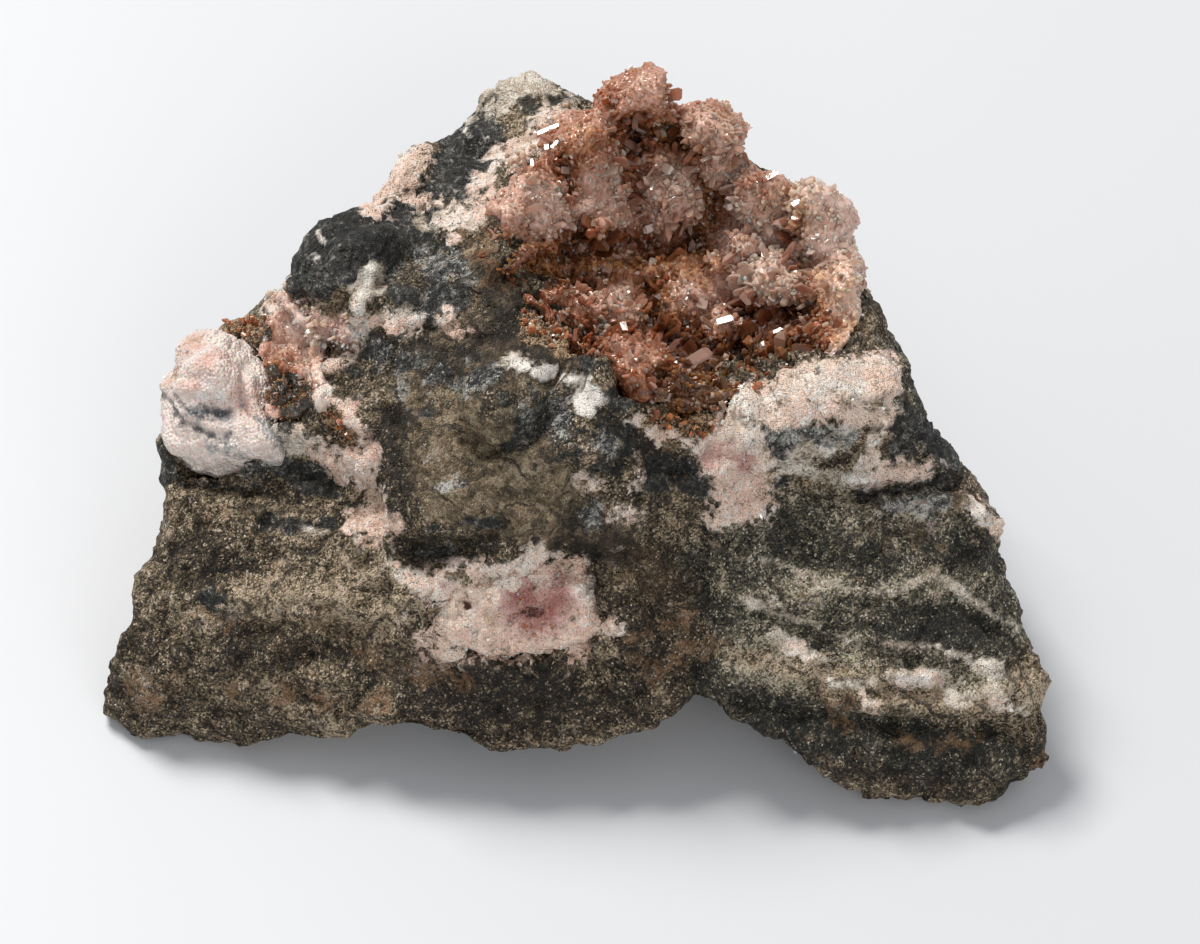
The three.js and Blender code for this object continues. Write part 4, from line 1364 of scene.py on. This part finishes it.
def blade_material(settings, name, glow, clearness, cloudiness, dull):
    """Clear to cloudy crystal: tinted, glossy, with some light passing through."""
    material, tree, shader = new_material(name)
    pick = attribute(tree, "pick")
    cloudy = cloud(tree, object_place(tree), size=0.5, detail=3.0, roughness=0.6)
    vary = plus(tree, times(tree, pick, 0.7), times(tree, cloudy, 0.3))
    lifted = plus(tree, attribute(tree, "tone"), glow)
    colour = hollow_colour(tree, settings, lifted, attribute(tree, "amber"), vary)
    # Painted highlight: a paler colour on the blades with the highest pick, which takes in the bright blades
    # and the clear crystal.
    colour = blend(tree, times(tree, span(tree, pick, 0.88, 0.96), 0.6), colour, (0.8, 0.57, 0.46, 1))
    sugary = times(tree, span(tree, attribute(tree, "tone"), 0.88, 1.0), 0.85)
    colour = blend(tree, sugary, colour, (0.9, 0.76, 0.67, 1))
    set_inputs(tree, shader, Base_Color=colour, Roughness=between(tree, cloudy, dull - 0.05, dull + 0.06))
    scatter_inside(shader, ior=1.65, weight=cloudiness, radius=(1, 0.5, 0.35), scale=1.4)
    shader.inputs["Transmission Weight"].default_value = clearness
    return material


def sculpt_lining():
    """The hollow's crust, with cushions, gaps between them and a crumbly edge at the left."""
    crust, flat, uv, facing = bare_skin("vug_crust", voxel=0.36, rounds=16, reach=0.5, size=2.4)
    u, v = uv.T
    to_middle = toward_hollow(flat)
    inner = smoothstep(-0.35, 0.45, np.einsum("ij,ij->i", crust.normals(), to_middle))
    cushion = smoothstep(-1.2, 1.2, inside(uv, CUSHIONS))
    gap = smoothstep(-0.8, 0.8, inside(uv, GAPS))
    crumbly = smoothstep(-0.7, 0.7, inside(uv, CRUMBLY_EDGE)) * smoothstep(0, 0.3, facing)
    spill = smoothstep(-0.7, 0.5, inside(uv, SPILL)) * smoothstep(0, 0.3, facing)
    inner = np.maximum(inner, spill)

    # Height: the cushions and gaps, with lumps of two sizes on them.
    lump, _ = cells(flat, size=2.6, seed=5)
    small_lump, _ = cells(flat, size=1.1, seed=17)
    round_lump = dome(lump, 2.1)
    small_round = dome(small_lump, 0.95)
    rise = 1.0 * cushion - 1.1 * gap + 0.7 * (round_lump - 0.6) + 0.4 * (small_round - 0.5)
    rise = rise * (0.5 + 0.5 * inner) + 0.3 * rough(flat, 1.2, 2, 29)
    rise = rise + (1 - inner) * (1.0 * rough(flat, 4.5, 3, 63) - 0.9 + 0.7 * small_round)
    rise = rise * (1 - 0.7 * crumbly) + crumbly * (0.8 * rough(flat, 1.8, 4, 33, 0.6) - 1.1)
    crust.push(0.75 * rise)
    outer = smoothstep(-1.2, 0.1, beyond_hollow(flat)) * smoothstep(0.3, -0.3, inner - 0.5)
    crust.push(outer * (0.15 + 0.35 * rough(flat, 2.2, 3, 77) + 0.35 * rough(flat, 0.9, 3, 79)))
    rim = smoothstep(-0.8, 0.8, inside(uv, RIM_FOLD)) * smoothstep(-4, -1, beyond_hollow(flat))
    tucked = smoothstep(-0.6, 0.8, inside(uv, LINING_HIDDEN))
    crust.points += AWAY * (2.4 * crumbly + 2.2 * rim + 3.5 * tucked)[:, None]
    crust.points = nudged(crust.points, uv, LINING_NUDGES)

    # How pale the crystals are: the gaps, the lower left and the bottom are darker; two spots further down
    # carry painted shade and painted light.
    low = smoothstep(14, 9, v)
    tone = 0.42 + 0.3 * cushion - 0.38 * gap + 0.2 * (round_lump - 0.65) - 0.6 * spill - 0.14 * low
    corner = smoothstep(-1.5, -5, u) * smoothstep(20, 18.5, v)
    tone = tone - 0.22 * corner + 0.24 * smoothstep(-0.6, 0.6, inside(uv, [AMBER_LEFT]))
    tone = tone + 0.1 * smoothstep(9, 16, u) * smoothstep(12, 16, v)
    tone = np.maximum(tone, 0.54 * (1 - inner) * (1 - 0.8 * corner) * (1 - 0.5 * low))
    tone = tone - 0.16 * smoothstep(28, 32, v) - 0.14 * smoothstep(4.6, 2.6, u) * low
    # Painted shade deep in the lower middle of the hollow, darker than its shallow shape makes it.
    tone = tone - 0.36 * smoothstep(10, 7, v) * smoothstep(4, 5.5, u) * smoothstep(13, 11, u)
    tone = tone - 0.22 * np.exp(-((u + 1.5) ** 2 + (v - 29) ** 2) / 7)
    tone = tone + 0.5 * smoothstep(18.5, 20.5, u) * smoothstep(16, 13, v)
    # Painted light: the cushion at the upper right is made paler, as if more lit.
    tone = tone + 0.14 * np.exp(-((u - 19.5) ** 2 + (v - 21.5) ** 2) / 5)
    crust.masks["tone"] = np.clip(tone, -0.4, 0.9)
    patchy = 0.7 + 0.5 * rough(flat, 1.4, 2, 19)
    crust.masks["amber"] = soft_edged(uv, AMBER) * inner * patchy
    crust.masks["crumbly"] = crumbly

    # Where crystals grow, and how long they get.
    crust.masks["growth"] = np.clip((0.55 + 0.45 * inner) * (1 - crumbly) * (1 - tucked), 0, 1)
    bottom = smoothstep(10.5, 8, v) * smoothstep(3.4, 5, u) * smoothstep(14, 11.5, u)
    crust.push(bottom * (0.35 * rough(flat, 0.8, 3, 83)))
    crust.masks["amber"] = np.maximum(crust.masks["amber"], 0.35 * bottom)
    crust.masks["blade_growth"] = crust.masks["growth"] * smoothstep(0.2, 0.8, inner) * (1 - 0.55 * bottom)
    vigour = (0.75 + 0.3 * gap + 0.3 * rough(flat, 3, 2, 55)) * (0.6 + 0.4 * inner) * (1 - 0.55 * corner)
    vigour = vigour * (1 - 0.3 * np.maximum(spill, bottom))
    near_top = smoothstep(34.5, 37, crust.points[:, 2])
    crust.masks["vigour"] = np.clip(vigour * (1 - 0.5 * near_top), 0.35, 1.3)
    return crust


BLADE_OUTLINE = ((-0.5, 0.36), (-0.42, 0.5), (0.4, 0.5), (0.5, 0.1), (0.46, -0.5), (-0.5, -0.5))
BLADE_HALF_THICKNESS = 0.07  # mm
BLADE_STANDS_OUT = 0.45  # mm from the lining toward the front


def bright_blades(lining, name):
    """Large glassy blades laid where they catch the light, on the lining's surface."""
    level = TOWARD_WINDOW - AWAY
    level /= np.linalg.norm(level)
    uv, facing = lining.front_view()
    shapes = bmesh.new()
    for u, v, length, width, turn in BRIGHT_BLADES:
        far = np.linalg.norm(uv - (u, v), axis=1) + 50 * (facing < 0.1)
        spot = lining.points[np.argmin(far)] - BLADE_STANDS_OUT * AWAY
        along = math.cos(math.radians(turn)) * ACROSS + math.sin(math.radians(turn)) * UPWARD
        along = along - (along @ level) * level
        along /= np.linalg.norm(along)
        side = np.cross(level, along)
        for height in (-BLADE_HALF_THICKNESS, BLADE_HALF_THICKNESS):
            for a, b in BLADE_OUTLINE:
                shapes.verts.new((spot + a * length * along + b * width * side + height * level) * MM)
        shapes.verts.ensure_lookup_table()
        low, high = shapes.verts[-12:-6], shapes.verts[-6:]
        shapes.faces.new(low[::-1])
        shapes.faces.new(high)
        for a in range(6):
            b = (a + 1) % 6
            shapes.faces.new((low[a], low[b], high[b], high[a]))
    bmesh.ops.recalc_face_normals(shapes, faces=shapes.faces)
    mesh = bpy.data.meshes.new(name)
    shapes.to_mesh(mesh)
    shapes.free()
    # The high pick gives these blades the painted highlight colour.
    mark(mesh, tone=0.9, amber=0.1, pick=0.95)
    return placed(name, mesh)


class SPECIMEN_OT_crystal_hollow(bpy.types.Operator):
    """Lines the hollow with a crust and grows its crystals"""

    bl_idname = "specimen.crystal_hollow"
    bl_label = "Crystal hollow"

    def execute(self, context):
        settings = context.scene.crystal_hollow
        crust = sculpt_lining()
        laid = bright_blades(crust, "bright_blades")
        lining = crust.finish("hollow_lining")
        lining.data.materials.append(lining_material(settings, shared_groups()))
        clear = blade_material(
            settings, "clear blades", glow=0.06, clearness=0.4, cloudiness=0.4, dull=0.08
        )
        cloudy = blade_material(
            settings, "crystal blades", glow=0.02, clearness=0.14, cloudiness=0.8, dull=0.2
        )
        blades = grow(
            lining, "hollow_blades", crystal_forms("hollow", BLADES), clear, spacing=0.75, shortest=1.4,
            longest=settings.large, lean=0.8, seed=4, sink=0.8, where="blade_growth",
        )
        druse = grow(
            lining, "hollow_druse", crystal_forms("druse", DRUSE), cloudy, spacing=0.4, shortest=0.9,
            longest=settings.small, lean=0.6, seed=40, sink=0.62,
        )
        put(lining, "rhodochrosite_crystals", "vug_crust")
        put(blades, "rhodochrosite_crystals")
        put(druse, "rhodochrosite_crystals")
        laid.data.materials.append(clear)
        put(laid, "rhodochrosite_crystals")
        return {"FINISHED"}


# ------------------------------------------------------------------ banded nodule
NODULE_BANDS = [
    (0.12, (-37.4, 6.6), (-36.6, 5.4), (-35.4, 4.2), (-34.2, 3.5)),
    (0.2, (-34.4, 3.7), (-33.2, 2.9), (-32, 2.8), (-31.4, 3.2)),
    (0.07, (-36.6, 7), (-35.4, 5.6), (-34, 4.6), (-32.6, 4.2)),
    (0.3, (-33.6, 5.4), (-32.4, 4.9), (-31.6, 5)),
]
NODULE_GREY = [
    (0.35, (-35, 5.2), (-32, 4.6)), (1.1, (-28.2, 3.6), (-25.6, 3.4)), (0.6, (-26.4, 2), (-25.6, 2)),
    (0.2, (-33.4, 2.4), (-30.6, 2)), (0.3, (-30, 5.6), (-29, 4)), (0.5, (-29, 2), (-28, 0.4)),
]
NODULE_RELIEF = [
    (-0.18, 0.3, (-37.4, 6.6), (-35.4, 4.2), (-33, 2.9), (-31.4, 3.2)),
    (0.35, 0.8, (-36.6, 3.6), (-34, 1.8), (-31, 1.8), (-28.6, 3.4)),
    (-0.4, 0.4, (-36, 1.4), (-33.4, 0.2), (-30.6, 0.4)),
    (0.5, 1.4, (-33.6, 9.6), (-31.4, 8.6)), (-0.4, 0.8, (-34.4, 6), (-31.6, 5.4)),
    (-0.5, 0.7, (-29.6, 9.4), (-29.4, 6.4)), (-0.5, 0.6, (-37, 8.4), (-34.8, 7.8)),
    (0.4, 0.7, (-29.6, 3), (-28.4, 1.6)), (-0.5, 0.5, (-30, 1.6), (-30.6, -0.4)),
]
NODULE_STAIN = [(0.8, (-37.4, 8.2), (-36.6, 9.2)), (0.6, (-36, 10.6), (-34.6, 11.6))]
# Painted glints: two small white spots on the nodule.
NODULE_PAINTED_GLINTS = [(0.45, (-34.1, 6.5), (-33.5, 6.1)), (0.4, (-32.4, 6.6), (-32, 6.2))]


class BandedNoduleSettings(bpy.types.PropertyGroup):
    pink_colour: colour_setting("Pink", "Colour of the nodule's core", (0.8, 0.47, 0.38, 1))
    rind_colour: colour_setting("Rind", "Colour of the pale outer bands", (0.95, 0.81, 0.73, 1))


def nodule_material(settings, groups):
    material, tree, shader = new_material("banded rhodochrosite")
    place = object_place(tree)
    grain = use_group(tree, groups["grain"], Place=place, Size=0.3, Facet=0.5)
    fine = cloud(tree, place, size=0.6, detail=5.0, roughness=0.65)
    wide = cloud(tree, place, size=2.2, detail=4.0, roughness=0.6)
    ring = add(tree, "ShaderNodeTexWave", {"wave_type": "RINGS", "rings_direction": "SPHERICAL"})
    shifted = vector_calc(tree, "SUBTRACT", place, tuple(NODULE_MIDDLE * MM))
    tree.links.new(shifted, ring.inputs["Vector"])
    ring.inputs["Scale"].default_value = 260.0
    ring.inputs["Distortion"].default_value = 3.0
    ring.inputs["Detail Scale"].default_value = 2.0
    core = blend(tree, span(tree, wide, 0.3, 0.56), settings.pink_colour, (0.93, 0.8, 0.72, 1))
    colour = blend(tree, attribute(tree, "rind"), core, settings.rind_colour)
    colour = blend(tree, times(tree, ring.outputs["Fac"], 0.22), colour, (0.5, 0.36, 0.3, 1))
    colour = blend(tree, times(tree, grain["Tone"], 0.3), colour, (0.84, 0.72, 0.65, 1))
    mottle = times(tree, span(tree, fine, 0.56, 0.7), 0.35)
    colour = blend(tree, mottle, colour, (0.5, 0.4, 0.34, 1))

    def mask(name, reach, softness):
        return broken_mask(tree, groups, name, fine, reach, softness)

    colour = blend(tree, mask("grey", 2.0, 0.2), colour, steps(
        tree, fine, (0.38, (0.06, 0.065, 0.07, 1)), (0.52, (0.3, 0.31, 0.31, 1)),
        (0.64, (0.66, 0.63, 0.6, 1)),
    ))
    colour = blend(tree, times(tree, mask("band", 1.6, 0.3), 0.9), colour, (0.05, 0.052, 0.06, 1))
    colour = blend(tree, times(tree, mask("stain", 1.5, 0.4), 0.6), colour, (0.5, 0.22, 0.09, 1))
    # The bright mask paints the two glints as a near-white colour.
    colour = blend(tree, mask("bright", 1.0, 0.2), colour, (0.9, 0.84, 0.8, 1))
    normal = bumped(tree, plus(tree, grain["Height"], fine), grain["Normal"], strength=0.9, distance=0.3)
    set_inputs(
        tree, shader, Base_Color=colour, Roughness=between(tree, grain["Other"], 0.28, 0.7),
        Normal=normal,
    )
    scatter_inside(shader, ior=1.6, weight=0.5, radius=(1, 0.5, 0.35), scale=0.6)
    return material


def sculpt_nodule():
    """The nodule's ball, with its painted bands, its relief and a few flat facets."""
    ball, flat, uv, facing = bare_skin("banded_nodule", voxel=0.2, rounds=14, reach=0.25, size=1.4)
    front = smoothstep(-0.1, 0.15, facing)
    for name, strokes, edge in (
        ("band", NODULE_BANDS, 0.5), ("grey", NODULE_GREY, 1.0), ("stain", NODULE_STAIN, 1.2),
        ("bright", NODULE_PAINTED_GLINTS, 0.5),
    ):
        ball.masks[name] = soft_edged(uv, strokes, edge) * front
    ball.masks["rind"] = smoothstep(6.4, 3.4, uv[:, 1] + 0.3 * (uv[:, 0] + 31))
    ball.masks["growth"] = 0.1 + smoothstep(6, 11, uv[:, 1] + rough(flat, 2, 2, 5)) * 0.3
    ball.masks["tone"] = np.full(len(flat), 1.0)
    ball.masks["amber"] = 0.6 * ball.masks["stain"]
    ball.masks["vigour"] = np.ones(len(flat))
    facet, _ = cells(flat, size=4.0, seed=8, angular=True)
    ball.push(0.5 * rough(flat, 3.4, 3, 3) + 0.12 * rough(flat, 0.7, 2, 9) + 0.5 * (1.6 - facet) / 1.6)
    ball.push(carved(uv, NODULE_RELIEF) * front)
    lump, _ = cells(flat, size=1.5, seed=12)
    ball.push(0.3 * (1 - ball.masks["rind"]) * dome(lump, 1.3))
    ball.push(-0.12 * ball.masks["band"])
    ball.points = nudged(ball.points, uv, NODULE_NUDGES)
    return ball


class SPECIMEN_OT_rock_sugar(bpy.types.Operator):
    """Sprinkles small crystals over the pale and drusy spots of the rock"""

    bl_idname = "specimen.rock_sugar"
    bl_label = "Sugar on the rock"

    def execute(self, context):
        rock = bpy.data.objects["host_rock"]
        sugar = sugar_on(
            rock, "rock_sugar", "rock sugar",
            spacing=0.36, shortest=0.2, longest=0.75, lean=0.9, seed=61, sink=0.1,
        )
        put(sugar, "rhodochrosite_crystals")
        return {"FINISHED"}


class SPECIMEN_OT_banded_nodule(bpy.types.Operator):
    """Shapes the banded nodule on the left"""

    bl_idname = "specimen.banded_nodule"
    bl_label = "Banded nodule"

    def execute(self, context):
        settings = context.scene.banded_nodule
        nodule = sculpt_nodule().finish("nodule")
        nodule.data.materials.append(nodule_material(settings, shared_groups()))
        frosting = sugar_on(
            nodule, "nodule_frosting", "frosting",
            spacing=0.32, shortest=0.2, longest=0.36, lean=1.2, seed=11, sink=0.12,
        )
        put(nodule, "banded_rhodochrosite", "banded_nodule")
        put(frosting, "banded_rhodochrosite")
        return {"FINISHED"}


# ------------------------------------------------------------------ side druse
CLEAR_CRYSTAL = (-23.0, 5.2)  # across and up in the front view, mm
CLEAR_CRYSTAL_RADIUS = 0.66  # mm
CLEAR_CRYSTAL_STRETCH = 1.15  # height over width
SIDE_PINK = [(1.6, (-25, 12.4), (-22, 11.6)), (1.0, (-24.4, 9.6), (-23.6, 7))]
SIDE_DARK = [
    (1.4, (-28, 7.8), (-25.4, 6.6)), (1.1, (-26.6, 6), (-25.6, 5)),
    (0.8, (-22.8, 4.6), (-21.4, 3)), (0.8, (-30, 11.6), (-28.6, 11.8)),
]
SIDE_BROWN = [(0.9, (-28.4, 9.4), (-24.6, 9.8)), (0.4, (-23.4, 11.6), (-22, 10.8))]


def sculpt_side():
    """The small side hollow's crust."""
    crust, flat, uv, facing = bare_skin("side_crust", voxel=0.16, rounds=8, reach=0.4, size=1.4)
    pink = smoothstep(-0.8, 0.8, inside(uv, SIDE_PINK))
    dark = smoothstep(-0.6, 0.6, inside(uv, SIDE_DARK))
    lump, _ = cells(flat, size=1.3, seed=5)
    crust.push(0.4 * dome(lump, 1.1) - 0.2 + 0.2 * rough(flat, 0.8, 2, 3))
    brown = smoothstep(-0.7, 0.7, inside(uv, SIDE_BROWN))
    crust.masks["tone"] = np.clip(0.84 + 0.14 * pink - 0.85 * dark - 0.3 * brown, 0, 1)
    crust.masks["amber"] = 0.02 + 0.14 * brown
    crust.masks["crumbly"] = dark
    crust.masks["growth"] = 0.8 + 0.2 * smoothstep(-0.2, 0.3, facing)
    crust.masks["vigour"] = np.ones(len(flat))
    return crust


def clear_crystal(name):
    """One stout clear crystal standing on the rock beside the side hollow."""
    rock = bpy.data.objects["host_rock"]
    points = np.empty(3 * len(rock.data.vertices))
    rock.data.vertices.foreach_get("co", points)
    points = points.reshape(-1, 3) / MM
    across = (points - AIM) @ ACROSS - CLEAR_CRYSTAL[0]
    up = (points - AIM) @ UPWARD - CLEAR_CRYSTAL[1]
    depth = (points - AIM) @ AWAY
    near = np.hypot(across, up) < 0.5
    spot = points[near][np.argmin(depth[near])] - 0.2 * AWAY
    shape = bmesh.new()
    bmesh.ops.create_icosphere(shape, subdivisions=1, radius=CLEAR_CRYSTAL_RADIUS * MM)
    for vertex in shape.verts:
        vertex.co.z *= CLEAR_CRYSTAL_STRETCH
        for axis in range(3):
            vertex.co[axis] += spot[axis] * MM
    mesh = bpy.data.meshes.new(name)
    shape.to_mesh(mesh)
    shape.free()
    # The high pick gives this crystal the painted highlight colour.
    mark(mesh, tone=1.0, amber=0.0, pick=0.95)
    return placed(name, mesh)


class SPECIMEN_OT_side_druse(bpy.types.Operator):
    """Lines the small side hollow and grows its crystals"""

    bl_idname = "specimen.side_druse"
    bl_label = "Side druse"

    def execute(self, context):
        lining = sculpt_side().finish("side_lining")
        lining.data.materials.append(bpy.data.materials["crystal lining"])
        blades = grow(
            lining, "side_blades", crystal_forms("side", BLADES), bpy.data.materials["crystal blades"],
            spacing=0.3, shortest=0.3, longest=0.7, lean=0.9, seed=21, sink=0.14,
        )
        put(lining, "side_druse", "side_crust")
        put(blades, "side_druse")
        lone = clear_crystal("clear_crystal")
        lone.data.materials.append(bpy.data.materials["clear blades"])
        put(lone, "side_druse")
        return {"FINISHED"}


# ------------------------------------------------------------------ front patch
PATCH_CORE = [(2.6, (-5.9, -11.5), (-4.8, -11)), (1.2, (-4.8, -10.8), (-3.8, -10))]
PATCH_PIT = [
    (0.35, (-6.5, -12.2), (-5.3, -11.8)), (0.3, (-11.6, -11.3), (-11.2, -11.5)),
    (0.16, (-2.5, -12.7), (-2.4, -12.6)),
]
PATCH_DIRT = [
    (1.7, (0.8, -8.6), (0.8, -10.2), (1.8, -11)), (0.8, (-0.2, -7.2), (1.4, -7.6)),
    (0.8, (3, -12.6), (3.4, -14)),
]


def patch_material(settings, groups):
    material, tree, shader = new_material("sugary rhodochrosite")
    place = object_place(tree)
    grain = use_group(tree, groups["grain"], Place=place, Size=0.25, Facet=0.6)
    fine = cloud(tree, place, size=0.7, detail=6.0, roughness=0.65)
    speck = swing(tree, grain["Tone"], 0.22)
    colour = use_group(tree, groups["sugar"], Place=place, Speck=speck, Pink=settings.pink_colour)[0]
    ragged = swing(tree, fine, 1.3)
    core = plus(tree, attribute(tree, "core"), ragged)
    rosy = blend(tree, span(tree, core, 0.45, 1.25), (0.76, 0.5, 0.44, 1), (0.4, 0.15, 0.125, 1))
    colour = blend(tree, span(tree, core, 0.05, 0.75), colour, rosy)
    pit = plus(tree, attribute(tree, "pit"), times(tree, ragged, 0.6))
    colour = blend(tree, span(tree, pit, 0.35, 0.9), colour, (0.12, 0.03, 0.022, 1))
    soiled = steps(
        tree, fine, (0.36, (0.03, 0.026, 0.02, 1)), (0.5, (0.14, 0.115, 0.088, 1)),
        (0.64, (0.5, 0.42, 0.36, 1)),
    )
    dirty = broken_mask(tree, groups, "dirt", fine, reach=2.0, softness=0.2)
    colour = blend(tree, dirty, colour, soiled)
    normal = bumped(tree, plus(tree, grain["Height"], fine), grain["Normal"], strength=0.8, distance=0.3)
    set_inputs(
        tree, shader, Base_Color=colour, Roughness=between(tree, grain["Other"], 0.25, 0.65),
        Normal=normal,
    )
    scatter_inside(shader, ior=1.6, weight=0.3, radius=(1, 0.6, 0.5), scale=0.5)
    return material


def sculpt_patch():
    """The front patch, lumpy and sugary, sunk into the rock at its rim."""
    patch, flat, uv, facing = bare_skin("front_druse", voxel=0.17, rounds=14, reach=0.4, size=1.6)
    core = smoothstep(-1.6, 1.3, inside(uv, PATCH_CORE))
    pit = smoothstep(-0.5, 0.4, inside(uv, PATCH_PIT))
    patch.masks["core"] = core
    patch.masks["pit"] = pit
    patch.masks["dirt"] = soft_edged(uv, PATCH_DIRT)
    lump, _ = cells(flat, size=1.2, seed=5)
    patch.push(0.45 * dome(lump, 1.1) - 0.3 + 0.25 * rough(flat, 1.1, 3, 3))
    patch.push(-0.35 * core - 0.5 * pit)
    across = np.abs((flat - PATCH_MIDDLE) / PATCH_RADII)
    rim = np.sqrt(across[:, 0] ** 2 + across[:, 2] ** 2) + 0.2 * rough(flat, 2.4, 3, 15)
    patch.points += AWAY * (1.8 * smoothstep(0.62, 1.05, rim))[:, None]
    patch.masks["tone"] = np.clip(0.9 - 0.6 * core, 0, 1)
    patch.masks["amber"] = np.zeros(len(flat))
    clean = smoothstep(0.7, 0.4, patch.masks["dirt"]) * (1 - 0.8 * pit)
    patch.masks["growth"] = 0.26 * smoothstep(-0.2, 0.3, facing) * clean
    patch.masks["vigour"] = np.ones(len(flat))
    return patch


class SPECIMEN_OT_front_patch(bpy.types.Operator):
    """Shapes the sugary patch on the front"""

    bl_idname = "specimen.front_patch"
    bl_label = "Front patch"

    def execute(self, context):
        patch = sculpt_patch().finish("sugary_patch")
        patch.data.materials.append(patch_material(context.scene.host_rock, shared_groups()))
        sugar = sugar_on(
            patch, "patch_sugar", "sugar",
            spacing=0.26, shortest=0.25, longest=0.5, lean=1.0, seed=31, sink=0.1,
        )
        put(patch, "front_druse", "front_druse")
        put(sugar, "front_druse")
        return {"FINISHED"}


# ------------------------------------------------------------------ stage
SENSOR_WIDTH = 36  # mm


class StageSettings(bpy.types.PropertyGroup):
    floor_size: bpy.props.FloatProperty(
        name="Floor", description="Edge of the floor", default=4.0, min=0.5, unit="LENGTH"
    )
    floor_colour: colour_setting("Floor colour", "Colour of the pale floor", (0.66, 0.665, 0.68, 1))


def light(name, place, size, power, colour=(1, 1, 1)):
    lamp = bpy.data.lights.new(name, "AREA")
    lamp.size = size
    lamp.energy = power
    lamp.color = colour
    holder = placed(name, lamp)
    holder.location = place
    holder.rotation_euler = (-Vector(place)).to_track_quat("-Z", "Y").to_euler()
    return holder


class SPECIMEN_OT_stage(bpy.types.Operator):
    """Lays the floor and sets the lights and the camera"""

    bl_idname = "specimen.stage"
    bl_label = "Stage"

    def execute(self, context):
        settings = context.scene.stage
        half = settings.floor_size / 2
        mesh = bpy.data.meshes.new("floor")
        corners = [(-half, -half, 0), (half, -half, 0), (half, half, 0), (-half, half, 0)]
        mesh.from_pydata(corners, [], [(0, 1, 2, 3)])
        floor = placed("floor", mesh)
        material, tree, shader = new_material("pale floor")
        set_inputs(tree, shader, Base_Color=settings.floor_colour, Roughness=0.5)
        mesh.materials.append(material)

        world = bpy.data.worlds.new("soft daylight")
        world.use_nodes = True
        sky = world.node_tree.nodes["Background"].inputs
        sky["Color"].default_value = (0.93, 0.96, 1, 1)
        sky["Strength"].default_value = 0.42
        context.scene.world = world
        light("window", place=(-0.3, 0.4, 0.75), size=0.32, power=7.6, colour=(1, 0.99, 0.97))
        light("front fill", place=(0.3, -0.8, 0.5), size=0.6, power=2.5)

        lens = bpy.data.cameras.new("camera")
        lens.sensor_width = SENSOR_WIDTH
        lens.lens = SENSOR_WIDTH * STAND_OFF / VIEW_WIDTH
        lens.clip_start = 0.01
        camera = placed("camera", lens)
        camera.location = Vector(EYE * MM)
        camera.rotation_euler = (math.pi / 2 - LOOK_DOWN, 0, 0)
        context.scene.camera = camera
        context.scene.view_settings.view_transform = "Standard"
        return {"FINISHED"}


# ------------------------------------------------------------------ panel and registration
class SPECIMEN_PT_panel(bpy.types.Panel):
    """Lists the steps that build the specimen"""

    bl_label = "Specimen"
    bl_idname = "SPECIMEN_PT_panel"
    bl_space_type = "VIEW_3D"
    bl_region_type = "UI"
    bl_category = "Specimen"

    def draw(self, context):
        for operator in OPERATORS:
            self.layout.operator(operator.bl_idname)


SETTINGS = {
    "host_rock": HostRockSettings,
    "crystal_hollow": CrystalHollowSettings,
    "banded_nodule": BandedNoduleSettings,
    "stage": StageSettings,
}
OPERATORS = (
    SPECIMEN_OT_host_rock,
    SPECIMEN_OT_crystal_hollow,
    SPECIMEN_OT_rock_sugar,
    SPECIMEN_OT_banded_nodule,
    SPECIMEN_OT_side_druse,
    SPECIMEN_OT_front_patch,
    SPECIMEN_OT_stage,
)


def register():
    for kind in (*SETTINGS.values(), *OPERATORS, SPECIMEN_PT_panel):
        bpy.utils.register_class(kind)
    for name, kind in SETTINGS.items():
        setattr(bpy.types.Scene, name, bpy.props.PointerProperty(type=kind))


def unregister():
    for name in SETTINGS:
        delattr(bpy.types.Scene, name)
    for kind in (SPECIMEN_PT_panel, *reversed(OPERATORS), *reversed(SETTINGS.values())):
        bpy.utils.unregister_class(kind)


def main():
    register()
    bpy.ops.specimen.host_rock()
    bpy.ops.specimen.crystal_hollow()
    bpy.ops.specimen.rock_sugar()
    bpy.ops.specimen.banded_nodule()
    bpy.ops.specimen.side_druse()
    bpy.ops.specimen.front_patch()
    bpy.ops.specimen.stage()


if __name__ == "__main__":
    main()
